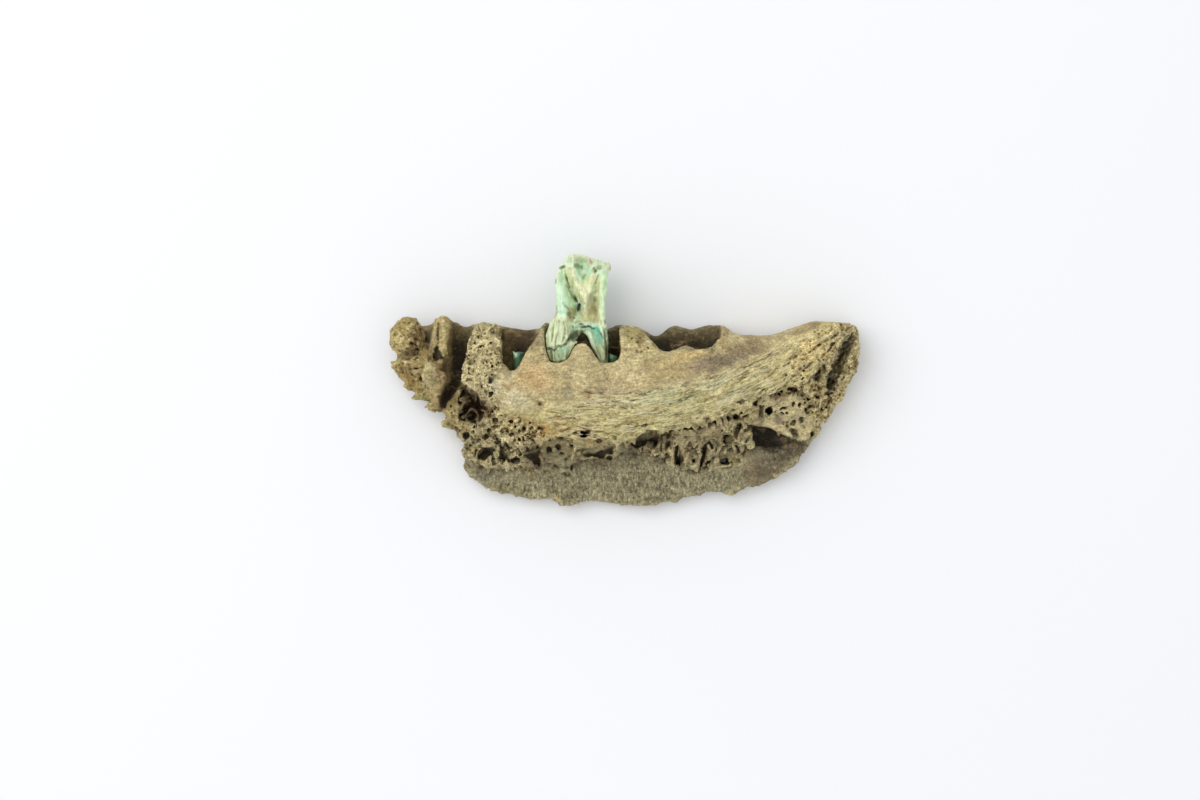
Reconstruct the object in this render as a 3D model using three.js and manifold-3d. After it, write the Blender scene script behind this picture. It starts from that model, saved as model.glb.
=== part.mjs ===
// Fragment of a small grazing animal's lower jaw, with one green-stained cheek tooth still in it.
// It lies on its inner side: the broken outer wall looks up, and the tooth sockets open towards +Y.
// Millimetres, +Z up, X along the jaw. The origin is on the resting surface under the middle of the whole.
import * as THREE from "three";
import { ImprovedNoise } from "three/addons/math/ImprovedNoise.js";
import { mergeVertices } from "three/addons/utils/BufferGeometryUtils.js";
import Module from "manifold-3d";

// Driving dimensions
const CREST_HEIGHT = 10.2; // highest line of the outer wall above the surface
const INNER_WALL_TOP = 2.7; // height of the inner wall's upper side
const FIT_GAP = 0.45; // room between a root and its socket
const SMOOTH_GRID = [1.75, 1.75]; // spacing of the points along x and y on the smooth walls
const ROUGH_GRID = [1.3, 1.3]; // the same on broken spongy bone
const UNDER_GRID = [4, 4]; // the same on the plain underside
const FOLD_GRID = [0.42, 1.1]; // the same on the tooth, whose folds stand upright

// Outlines seen from above, as [x, y] points that run clockwise
const SILHOUETTE = [
  [-25.4, 4.35], [-25.1, 5.65], [-24.35, 6.5], [-23.6, 6.85], [-22.3, 6.2], [-21.6, 5.85],
  [-20.9, 6.1], [-20, 6.95], [-19.35, 7.05], [-18.8, 6.5], [-17.2, 5.75], [-15.65, 6.2], [-14.1, 6],
  [-12.4, 5.75], [-10.45, 5.45], [-9.15, 5.45], [-8.6, 6.3], [-7.95, 6.2], [-7.4, 5.65], [-1.95, 5.35],
  [-0.65, 6], [0.85, 5.85], [1.75, 5.75], [3.05, 4.8], [3.9, 4.8], [4.9, 5.75], [5.55, 6], [7.4, 5.55],
  [9.15, 6], [10.9, 5.85], [12.3, 4.9], [16.1, 4.8], [18.25, 5.55], [20.45, 6.4], [22.6, 6.3],
  [24.8, 6.2], [25.65, 4.55], [25.3, 3.5], [25.3, 1.95], [24.55, 0], [24, -0.55], [24.1, -1.2],
  [23.5, -1.75], [23.25, -2.6], [21.3, -4.8], [21.3, -5.65], [19.25, -8.25], [18.8, -9], [16.4, -10.85],
  [15.45, -11.1], [14.55, -11.65], [13.5, -11.5], [11.95, -12.5], [10.2, -12.05], [8.8, -12.2],
  [8.15, -12.6], [6.4, -12.7], [5.75, -13.35], [4.8, -13.15], [3.9, -13.7], [-0.2, -13.7],
  [-2.3, -13.15], [-3.9, -13.15], [-6.1, -13.7], [-6.95, -13.6], [-7.4, -13.05], [-11.3, -12.95],
  [-12.95, -12.6], [-15.2, -11.65], [-16.85, -10.45], [-17.4, -9.55], [-17.3, -8.7], [-17.6, -7.85],
  [-17.05, -6.65], [-18.15, -6.1], [-17.5, -5.55], [-19.65, -5], [-19.8, -4.65], [-18.9, -4.45],
  [-19.65, -3.5], [-20.55, -3.05], [-21.5, -3.05], [-20.85, -2.5], [-23.05, -1.95], [-22.5, -1.4],
  [-23.5, -1.2], [-24.65, 0.65], [-25.4, 1.85], [-24.65, 2.05], [-24.8, 2.95], [-25.3, 3.7],
];
// The outer wall's rim: down into each socket's notch and up over each bony partition
const RIM = [
  [-15.65, 6.2], [-14.1, 6], [-13.5, 6], [-13.15, 3.05], [-13.15, 1.95], [-12.15, 0.85], [-11.5, 1.3],
  [-10.55, 3.05], [-9.25, 4.9], [-8.85, 6], [-8.6, 6.1], [-8.5, 3.5], [-8.3, 2.5], [-7.8, 1.85],
  [-6.7, 1.75], [-6.05, 2.3], [-5.1, 3.8], [-4.4, 4.05], [-3.8, 3.6], [-2.95, 2.2], [-2.4, 1.75],
  [-1.3, 1.75], [-0.6, 2.1], [-0.3, 3.05], [-0.5, 5.75], [0.85, 5.85], [1.75, 5.65], [2.8, 4.35],
  [4, 3.15], [4.9, 2.95], [6.3, 3.7], [6.75, 3.8], [7.95, 3.25], [8.9, 3.35], [10.2, 4.35], [10.45, 5.2],
  [10.3, 6], [10.9, 5.85], [12.4, 4.8], [16.1, 4.8], [18.25, 5.55], [20.45, 6.4], [22.6, 6.3],
  [23.35, 6.1],
];
// The outer wall's ragged break, from its thin far end back along the lower side
const BREAK_EDGE = [
  [23.5, 4.9], [22.7, 2.4], [21.1, 0.75], [19.15, -0.55], [17.6, -0.75], [16.5, -1.4], [14.45, -1.95],
  [12.8, -3.25], [10.65, -4.15], [9, -4.25], [8.25, -4.9], [5.2, -5.2], [3.9, -5.65], [2.8, -5.35],
  [1.1, -6.4], [-1.95, -7.15], [-5.1, -7.4], [-5.55, -6.5], [-6.4, -6.1], [-8.05, -6.2], [-9.8, -7.3],
  [-10.85, -7.4], [-12.15, -7.05], [-13.8, -5.45], [-14.55, -3.25], [-16.85, -0.55], [-17.5, -0.45],
];
// The foot of the spongy bone, where it meets the bare inside of the inner wall
const SPONGE_FOOT = [
  [24.9, 5.5], [25.1, 3.25], [23.8, -0.35], [23.05, -2.2], [21.3, -4.35], [20.75, -5.75], [19.8, -6.5],
  [17.8, -6.3], [15.65, -5.1], [14.45, -4.9], [13.9, -5.65], [13.9, -6.95], [12.05, -7.8],
  [8.05, -9.65], [5.2, -9.55], [4.15, -7.8], [2.6, -8.15], [-0.2, -7.6], [-1.5, -8.8], [-4.35, -8.35],
  [-5.45, -9.55], [-8.25, -8.9], [-9.15, -10], [-11.95, -9.35], [-13.5, -9.55], [-16.3, -9.15],
  [-17.3, -7.15], [-17.95, -6.1], [-17.5, -5.45], [-18.8, -4.45], [-19.45, -3.5], [-19.25, -2.6],
  [-18.05, -1.1],
];
// The flank of the first partition, beside the socket that is broken open
const PARTITION_FLANK = [
  [-17.5, 0.55], [-17.3, 1.95], [-16.95, 3.25], [-16.5, 4.8], [-16, 5.75],
];
// The upper outline's height on the page, for rounding the crest over: [x, y]
const CREST_LINE = [[-26, 6.6], [11.4, 6.2], [12.6, 4.9], [16.5, 4.9], [21, 6.6], [26, 6.3]];

// Tooth sockets: top and bottom of the axis, half width along the jaw, half depth across it
const SOCKETS = [
  { top: [-17.6, 6.2], foot: [-19.9, -3.2], width: 1.05, depth: 3.1, z: 5.7 },
  { top: [-11.45, 6], foot: [-12, -2.6], width: 1.5, depth: 2.85, z: 5.7 },
  { top: [4.7, 6], foot: [4.4, -3.6], width: 1.6, depth: 2.9, z: 5.7 },
  { top: [8.6, 6], foot: [8.1, -3.3], width: 1.65, depth: 2.9, z: 5.8 },
  { top: [6.7, 6.2], foot: [6.45, -2.4], width: 3.5, depth: 3, z: 5.75 },
  { top: [-1.35, 6], foot: [-1.4, -1.6], width: 0.9, depth: 2.7, z: 5.75 },
];
// Open marrow cells in the spongy bone: [x, y, half width, half height]
const CELLS = [
  [-17.25, -6, 0.45, 0.4], [-15.5, -4.85, 0.3, 0.3], [-15, -6.15, 0.45, 0.35],
  [-11.8, -9, 0.6, 0.4], [-9.3, -9.1, 0.35, 0.6], [-8.15, -7.7, 0.28, 0.42], [-7, -7.55, 0.28, 0.48],
  [4.7, -7.05, 0.35, 0.5], [5.9, -8.2, 0.42, 1.1], [8.6, -7.3, 0.32, 0.85],
  [9.1, -8.7, 0.42, 0.6], [9.9, -7, 0.6, 0.5], [11.1, -6.1, 0.6, 0.5], [10.9, -8.8, 0.5, 0.45],
  [11.5, -7.4, 0.35, 0.45], [7.8, -5.05, 0.3, 0.28], [9.1, -4.75, 0.28, 0.42], [12.05, -4, 0.38, 0.32],
  [15.8, -3.35, 0.4, 0.42], [20, -3.35, 0.4, 0.35], [20.9, 0, 0.28, 0.3],
];
// Deeper hollows, some running in under the outer wall: centre, half sizes and fineness
const HOLLOWS = [
  { at: [-16.4, -1.9, 6.9], half: [0.85, 1.15, 2.3], fine: 1 },
  { at: [-15.5, -3, 6.6], half: [1, 1.05, 2.4], fine: 1 },
  { at: [-16.9, -3.4, 5.4], half: [0.8, 0.65, 1.6], fine: 0 },
  { at: [-15, -8.1, 4.9], half: [0.95, 0.75, 1.5], fine: 1 },
  { at: [-13.1, -7.1, 6], half: [0.8, 0.65, 1.5], fine: 0 },
  { at: [-10.3, -7.7, 5.6], half: [0.9, 0.8, 1.6], fine: 1 },
  { at: [-4.3, -5.9, 8.2], half: [0.5, 0.5, 2.2], fine: 0 },
  { at: [-2.6, -6.7, 5.6], half: [1.7, 1.5, 1.7], fine: 1 },
  { at: [2.1, -5.9, 5.8], half: [2.1, 1.7, 2], fine: 1 },
  { at: [12.4, -5.5, 5.6], half: [0.55, 0.75, 1.7], fine: 0 },
  { at: [14.9, -5.1, 4], half: [1.9, 1.1, 1.2], fine: 1 },
  { at: [17.6, -6.2, 3.9], half: [1.9, 1, 1.1], fine: 1 },
  { at: [24.15, 4.4, 6.2], half: [0.55, 0.8, 1.9], fine: 0 },
  { at: [24, 2.8, 6.4], half: [0.6, 0.95, 2.3], fine: 0 },
  { at: [23.3, 1.4, 6.4], half: [0.7, 0.95, 2.3], fine: 0 },
  { at: [22.8, -0.2, 6], half: [0.7, 0.9, 1.9], fine: 0 },
];
// Slender struts and blades of spongy bone: ends and thickness
const STRUTS = [
  { from: [4.4, -5.8, 7.2], to: [2.7, -8.6, 2.2], half: 0.2 },
  { from: [6.2, -6.2, 6.6], to: [4.1, -8, 3.9], half: 0.3 },
  { from: [-3.3, -5.6, 7.6], to: [-3.6, -7.6, 4.2], half: 0.25 },
  { from: [12.6, -4.6, 6.8], to: [14, -7.2, 3.7], half: 0.35 },
  { from: [-16.3, -1, 7.6], to: [-15.9, -3.8, 5.6], half: 0.16 },
  { from: [-17.4, -5.7, 2.8], to: [-19.4, -4.9, 3], half: 0.3 },
];
// The rounded knob and ridges that stand on the broken near end: centre, half sizes and fineness
const END_LUMPS = [
  { at: [-23.5, 4.65, 3.7], half: [1.95, 2.25, 3.1], fine: 2 },
  { at: [-22.4, 2.4, 3.1], half: [2, 2.2, 2.2], fine: 1 },
  { at: [-19.7, 3.8, 4], half: [1.35, 3.05, 3.7], fine: 2 },
  { at: [-20.4, 0.5, 3.9], half: [1.5, 1.9, 3.3], fine: 1 },
  { at: [-20.4, -1.5, 3.1], half: [0.85, 2.1, 2.3], fine: 1 },
  { at: [-18.4, -3.2, 3.1], half: [1.1, 0.8, 2.2], fine: 1 },
];
const END_CRACK = { at: [-20.25, 4.9, 7.2], half: [0.16, 1.35, 1.7], fine: 0 };
const END_PIT = { at: [-20.3, 2.5, 6.7], half: [0.42, 0.55, 2.1], fine: 0 };

// The tooth from above, its folds and its grooves
const TOOTH_OUTLINE = [
  [-5.85, 13.55], [-4.6, 13.6], [-3.25, 13.1], [-1.75, 12.8], [-1.3, 12.1], [-1.85, 11.45],
  [-1.8, 9.65], [-2.05, 8.9], [-2.05, 6.85], [-1.85, 5.35], [-1.75, 3.85], [-1.8, 2.1], [-2.3, 2.1],
  [-2.7, 2.4], [-3.15, 3.05], [-3.6, 3.9], [-4.1, 4.9], [-4.35, 5.15], [-4.7, 4.95], [-5.35, 4],
  [-5.85, 3.9], [-5.95, 3.05], [-6.3, 2.4], [-7, 2.1], [-7.7, 2.1], [-7.95, 2.7], [-8.02, 3.9],
  [-7.98, 4.7], [-7.85, 6], [-7.5, 6.85], [-7.3, 7.75], [-7.5, 10.5], [-7.25, 11.8], [-6.55, 12.75],
];
const TOOTH_FOLDS = [
  { line: [[-6.8, 12.4], [-6.75, 10], [-6.6, 7.6], [-7, 5.2], [-7.1, 2.6]], half: 1.3, top: 8.1 },
  { line: [[-2.3, 12.2], [-2.4, 9], [-2.3, 6.5], [-2.1, 4.6]], half: 0.85, top: 8.2 },
  { line: [[-6, 12.9], [-5.1, 10.6], [-4, 8.1]], half: 0.8, top: 8.9 },
  { line: [[-3, 12.6], [-3.5, 10.2], [-4, 8.1]], half: 0.65, top: 8.7 },
  { line: [[-6.3, 13.2], [-4.6, 13.3], [-1.8, 12.5]], half: 0.9, top: 9 },
  { line: [[-4.2, 7], [-3.7, 6.3]], half: 1.1, top: 8.1 },
  { line: [[-5.7, 4.2], [-4.4, 5.4], [-3.5, 4.6], [-2.5, 2.6]], half: 0.8, top: 7.6 },
];
const TOOTH_GROOVES = [
  { line: [[-6.5, 12], [-5.85, 10.3], [-5.15, 8.6], [-4.95, 7.6]], half: 0.5, depth: 1.3 },
  { line: [[-2.95, 11.4], [-3.2, 9.6], [-3.1, 7.6]], half: 0.45, depth: 0.9 },
  { line: [[-4.7, 12], [-4.2, 10.4]], half: 0.5, depth: 0.6 },
];

const wasm = await Module();
wasm.setup();
const perlin = new ImprovedNoise();
const noise = (x, y, z = 0) => perlin.noise(x + 31.7, y + 17.3, z + 5.1);
const { clamp, lerp, smoothstep } = THREE.MathUtils;

// Shapes and joins

function solid(geometry) {
  const bare = new THREE.BufferGeometry().setAttribute("position", geometry.getAttribute("position"));
  if (geometry.index) bare.setIndex(geometry.index);
  const merged = mergeVertices(bare, 1e-4);
  const mesh = new wasm.Mesh({
    numProp: 3,
    vertProperties: merged.getAttribute("position").array,
    triVerts: new Uint32Array(merged.index.array),
  });
  return new wasm.Manifold(mesh);
}

function geometryOf(manifold) {
  const { vertProperties, triVerts } = manifold.getMesh();
  const geometry = new THREE.BufferGeometry();
  geometry.setAttribute("position", new THREE.BufferAttribute(vertProperties, 3));
  geometry.setIndex(new THREE.BufferAttribute(triVerts, 1));
  geometry.computeVertexNormals();
  return geometry;
}

const joined = (pieces) => pieces.reduce((whole, piece) => whole.add(piece));
const without = (whole, cutters) => whole.subtract(joined(cutters));

// A sheet between two heights, each a function of x and y, over a region given by its corners
function sheet(low, high, [alongX, alongY], [left, bottom, right, top] = [-26.5, -15, 26.5, 8]) {
  const [width, height] = [right - left, top - bottom];
  const [across, up] = [Math.round(width / alongX), Math.round(height / alongY)];
  const box = new THREE.BoxGeometry(width, height, 1, across, up, 1);
  const points = box.translate((left + right) / 2, (bottom + top) / 2, 0).getAttribute("position");
  for (let i = 0; i < points.count; i += 1) {
    const [x, y] = [points.getX(i), points.getY(i)];
    points.setZ(i, points.getZ(i) > 0 ? high(x, y) : low(x, y));
  }
  return solid(box);
}

// Everything inside an outline, with craggy sides like broken bone
function column(outline, low, high, steps, crag = 0.16) {
  const shape = new THREE.Shape(outline.map(([x, y]) => new THREE.Vector2(x, y)));
  const extruded = new THREE.ExtrudeGeometry(shape, { depth: high - low, steps, bevelEnabled: false });
  const points = extruded.translate(0, 0, low).getAttribute("position");
  for (let i = 0; i < points.count; i += 1) {
    const [x, y, z] = [points.getX(i), points.getY(i), points.getZ(i)];
    points.setX(i, x + crag * noise(x * 1.3, y * 1.3, z * 0.9));
    points.setY(i, y + crag * noise(x * 1.3 + 40, y * 1.3, z * 0.9));
  }
  return solid(extruded);
}

// A bumpy rounded lump, also used to cut a hollow
function lump([x, y, z], [rx, ry, rz], detail = 2, bumps = 0.12) {
  const ball = new THREE.IcosahedronGeometry(1, detail);
  const points = ball.getAttribute("position");
  for (let i = 0; i < points.count; i += 1) {
    const [a, b, c] = [points.getX(i), points.getY(i), points.getZ(i)];
    const swell = 1 + bumps * noise(a * 2.1 + x, b * 2.1 + y, c * 2.1 + z) * 2;
    points.setXYZ(i, x + a * rx * swell, y + b * ry * swell, z + c * rz * swell);
  }
  return solid(ball);
}

// A root or its socket: a tapering round-ended peg whose axis runs from top down to foot
function peg({ top, foot, width, depth, z }, grow = 0, sides = 8) {
  const length = Math.hypot(top[0] - foot[0], top[1] - foot[1]);
  const profile = [[0, 0], [0.42, 0.03], [0.72, 0.16], [0.9, 0.45], [1, 0.8], [1.04, 1.25], [0, 1.25]];
  const points = profile.map(([r, along]) => new THREE.Vector2(r, along));
  const lathe = new THREE.LatheGeometry(points, sides);
  lathe.scale(width + grow, length + grow, depth + grow).translate(0, -grow, 0);
  lathe.rotateZ(Math.atan2(foot[0] - top[0], top[1] - foot[1]));
  return solid(lathe.translate(foot[0], foot[1], z));
}

// A thin five-sided strut, waisted in the middle
function strut({ from, to, half }) {
  const [start, end] = [new THREE.Vector3(...from), new THREE.Vector3(...to)];
  const span = new THREE.Vector3().subVectors(end, start);
  const profile = [[0, -0.5], [1.3, -0.5], [0.8, 0], [1.2, 0.5], [0, 0.5]];
  const points = profile.map(([r, at]) => new THREE.Vector2(r * half, at * span.length()));
  const turn = new THREE.Quaternion().setFromUnitVectors(new THREE.Vector3(0, 1, 0), span.clone().normalize());
  const lathe = new THREE.LatheGeometry(points, 5).applyQuaternion(turn);
  const middle = start.lerp(end, 0.5);
  return solid(lathe.translate(middle.x, middle.y, middle.z));
}

// Height of a line of [x, y] points at x
function along(line, x) {
  const next = clamp(line.findIndex(([at]) => at > x), 1, line.length - 1);
  const [[x0, y0], [x1, y1]] = [line[next - 1], line[next]];
  return lerp(y0, y1, clamp((x - x0) / (x1 - x0), 0, 1));
}

// Distance on the page from a point to a chain of points
function distance(chain, x, y) {
  let nearest = Infinity;
  for (let i = 1; i < chain.length; i += 1) {
    const [[x0, y0], [x1, y1]] = [chain[i - 1], chain[i]];
    const [dx, dy] = [x1 - x0, y1 - y0];
    const t = clamp(((x - x0) * dx + (y - y0) * dy) / (dx * dx + dy * dy), 0, 1);
    nearest = Math.min(nearest, Math.hypot(x - x0 - t * dx, y - y0 - t * dy));
  }
  return nearest;
}

// Walls of the jaw, as heights above the resting surface

// The underside is gently convex and worn flat where it rests.
function underside(x, y) {
  const bow = 1.2 * ((x - 1) / 24) ** 2 + 1.3 * ((y + 3.5) / 10) ** 2;
  return Math.max(0, bow - 0.28 + 0.7 * smoothstep(-x, 17, 22) + 0.1 * noise(x * 0.3, y * 0.3));
}

// The inside face of the inner wall, thin at its lower edge and raised at both broken ends
function innerFace(x, y) {
  const thinning = 0.75 * smoothstep(-y, 9, 13.5);
  const nearEnd = 0.6 * smoothstep(-x, 17.5, 20);
  const farEnd = 1.9 * smoothstep(x, 21.5, 25);
  return INNER_WALL_TOP - thinning + nearEnd + farEnd + 0.3 * noise(x * 0.55, y * 0.55);
}

// The outer wall is arched across the jaw, falls towards both ends and rounds over at the crest.
function outerFace(x, y) {
  const middle = x > -2.6 ? -1.2 + 0.0088 * (x + 2.6) ** 2 : -1.2;
  const ends = x > -3 ? 0.005 * (x + 3) ** 2 : 0.0085 * (x + 3) ** 2;
  const across = (y < middle ? 0.042 : 0.024) * (y - middle) ** 2;
  const overCrest = 0.6 * Math.max(0, 2.1 - (along(CREST_LINE, x) - y)) ** 2;
  const grain = 0.22 * noise(x * 0.22, (y - middle) * 1.1);
  return CREST_HEIGHT - ends - across - overCrest + grain;
}

// How far the spongy bone lies below the outer wall's face, and above the inner wall's: [x, amount]
const STEP_DOWN = [[-18, 0.6], [-12.4, 0.8], [-10.4, 2.6], [-6, 2.8], [-4.6, 3.4], [0.4, 4.4], [4, 4],
  [5, 1.3], [11, 1.2], [12.2, 2], [14, 1.6], [21, 1.3], [26, 1.6]];
const STEP_UP = [[-18, 1.1], [-12, 0.9], [0, 0.4], [5, 0.7], [13, 0.8], [14.6, 1.9], [20.5, 2.1], [22.5, 0.9],
  [26, 0.9]];

// Past the outer wall's break the spongy bone falls raggedly to its foot on the inner wall.
function spongeTop(x, y) {
  const fromWall = isInside(OUTER_WALL_OUTLINE, x, y) ? 0 : distance(BREAK_EDGE, x, y);
  const t = fromWall / (fromWall + distance(SPONGE_FOOT, x, y) + 1e-6);
  const ragged = 0.8 * noise(x * 0.9, y * 0.9, 3) + 0.5 * noise(x * 2, y * 2, 7);
  const start = outerFace(x, y) - along(STEP_DOWN, x);
  const end = innerFace(x, y) + along(STEP_UP, x);
  return lerp(start, end, smoothstep(t, 0.1, 0.95)) + ragged * Math.min(1, 2 * t + 0.3);
}

function isInside(outline, x, y) {
  let inside = false;
  outline.forEach(([x0, y0], i) => {
    const [x1, y1] = outline[(i + 1) % outline.length];
    if (y0 > y !== y1 > y && x < x0 + ((y - y0) * (x1 - x0)) / (y1 - y0)) inside = !inside;
  });
  return inside;
}

const OUTER_WALL_OUTLINE = [...RIM, ...BREAK_EDGE, ...PARTITION_FLANK];
const SPONGE_OUTLINE = [[19, 3], ...SPONGE_FOOT, [-13.5, 0], [-12.6, -4.4], [-5.5, -5], [3, -3.6], [12, -1.4]];

// The tooth: two roots astride a partition, two upright columns and a folded face between them

const LEFT_ROOT = { top: [-7.1, 4.4], foot: [-6.9, -0.9], width: 1.05, depth: 2.1, z: 6 };
const RIGHT_ROOT = { top: [-2.35, 4.2], foot: [-2.25, -0.6], width: 0.6, depth: 1.9, z: 6.1 };
const LEFT_FRAGMENT = { top: [-11.35, 2.2], foot: [-11.6, -0.9], width: 0.5, depth: 1.5, z: 5.9 };
const RIGHT_FRAGMENT = { top: [-1.15, 1.65], foot: [-1.15, -0.8], width: 0.34, depth: 1.1, z: 5.2 };

// Its outer face has upright folds, with grooves pressed in between them.
function toothTop(x, y) {
  const folds = TOOTH_FOLDS.map(({ line, half, top }) => (top - 6.9) * swell(line, half, x, y));
  const grooves = TOOTH_GROOVES.map(({ line, half, depth }) => depth * swell(line, half, x, y));
  return 6.9 + Math.max(...folds) - Math.max(...grooves);
}

// Its inner face is plain and rounds up at both sides.
const toothUnder = (x, y) => 3.9 + 0.13 * (x + 4.8) ** 2 + 0.3 * noise(x * 1.1, y * 0.4, 6);

// 1 on a chain of points, falling in a rounded curve to 0 at a half width from it
function swell(line, half, x, y) {
  return Math.max(0, 1 - (distance(line, x, y) / half) ** 2);
}

function tooth() {
  const region = [-9, 1, -0.5, 14.5];
  const crown = column(TOOTH_OUTLINE, 3, 10, 2, 0.08)
    .intersect(sheet(() => 2, toothTop, FOLD_GRID, region))
    .intersect(sheet(toothUnder, () => 11, SMOOTH_GRID, region));
  return joined([crown, peg(LEFT_ROOT), peg(RIGHT_ROOT)]);
}

// The jaw

function jawBone() {
  const innerWall = column(SILHOUETTE, -1, 6, 2).intersect(sheet(() => -2, innerFace, SMOOTH_GRID));
  const body = column(OUTER_WALL_OUTLINE, 1, 13, 3).intersect(sheet(() => 1.5, outerFace, SMOOTH_GRID));
  const sponge = column(SPONGE_OUTLINE, 1, 13, 3).intersect(sheet(() => 1.5, spongeTop, ROUGH_GRID));
  const lumps = END_LUMPS.map(({ at, half, fine }) => lump(at, half, fine));
  const jaw = joined([innerWall, body, sponge, ...lumps]).intersect(sheet(underside, () => 14, UNDER_GRID));

  const sockets = SOCKETS.map((socket) => peg(socket, 0, 10));
  const roots = [LEFT_ROOT, RIGHT_ROOT, LEFT_FRAGMENT, RIGHT_FRAGMENT].map((root) => peg(root, FIT_GAP));
  const cells = CELLS.map(([x, y, rx, ry]) => {
    const top = isInside(OUTER_WALL_OUTLINE, x, y) ? outerFace(x, y) : spongeTop(x, y);
    return lump([x, y, top - 0.4 * rx], [rx * 1.15, ry * 1.15, 0.5 + 1.5 * rx], 0, 0.2);
  });
  const hollows = [...HOLLOWS, END_CRACK, END_PIT].map(({ at, half, fine }) => lump(at, half, fine));
  const struts = STRUTS.map(strut);
  return without(jaw, [...sockets, ...roots, ...cells, ...hollows]).add(joined(struts));
}

// Parts

const fragment = new THREE.Group();

function add(name, shape, material) {
  const mesh = new THREE.Mesh(geometryOf(shape), material);
  mesh.name = name;
  fragment.add(mesh);
}

const bone = new THREE.MeshStandardMaterial({ color: 0xb9a67e, roughness: 0.85, metalness: 0 });
const stained = new THREE.MeshStandardMaterial({ color: 0xa9cdb0, roughness: 0.6, metalness: 0 });
const darkStained = new THREE.MeshStandardMaterial({ color: 0x3f6b50, roughness: 0.6, metalness: 0 });

add("jaw_bone", jawBone(), bone);
add("cheek_tooth", tooth(), stained);
add("root_fragment_left", peg(LEFT_FRAGMENT), darkStained);
add("root_fragment_right", peg(RIGHT_FRAGMENT), darkStained);

export default fragment;
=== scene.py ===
import math

import bpy
import numpy as np
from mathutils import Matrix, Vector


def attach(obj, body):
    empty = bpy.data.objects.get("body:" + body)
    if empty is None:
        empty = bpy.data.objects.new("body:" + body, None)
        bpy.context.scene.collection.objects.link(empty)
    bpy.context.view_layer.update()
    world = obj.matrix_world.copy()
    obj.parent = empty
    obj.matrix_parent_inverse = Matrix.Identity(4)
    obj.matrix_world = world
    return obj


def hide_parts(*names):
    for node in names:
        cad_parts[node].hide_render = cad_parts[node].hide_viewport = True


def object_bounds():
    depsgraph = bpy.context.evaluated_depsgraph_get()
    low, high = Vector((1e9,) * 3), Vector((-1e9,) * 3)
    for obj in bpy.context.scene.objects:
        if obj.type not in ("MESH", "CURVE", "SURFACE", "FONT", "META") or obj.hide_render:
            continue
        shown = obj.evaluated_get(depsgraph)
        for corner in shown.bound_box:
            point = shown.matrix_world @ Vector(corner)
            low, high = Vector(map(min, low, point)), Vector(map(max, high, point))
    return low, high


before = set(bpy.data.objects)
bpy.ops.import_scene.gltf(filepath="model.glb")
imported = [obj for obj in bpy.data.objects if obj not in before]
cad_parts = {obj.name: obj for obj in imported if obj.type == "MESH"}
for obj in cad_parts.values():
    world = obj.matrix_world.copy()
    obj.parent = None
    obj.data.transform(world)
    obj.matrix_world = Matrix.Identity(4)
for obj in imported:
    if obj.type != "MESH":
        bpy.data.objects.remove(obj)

import openvdb as vdb

packed_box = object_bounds()

# The jaw's shape. One piece of fossil bone from a small grazing animal's lower jaw, lying on its inner side.
# The thick outer wall is broken off along its lower edge, where the spongy bone that filled the jaw shows,
# down to the inner wall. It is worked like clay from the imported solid's skin, in millimetres.

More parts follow.
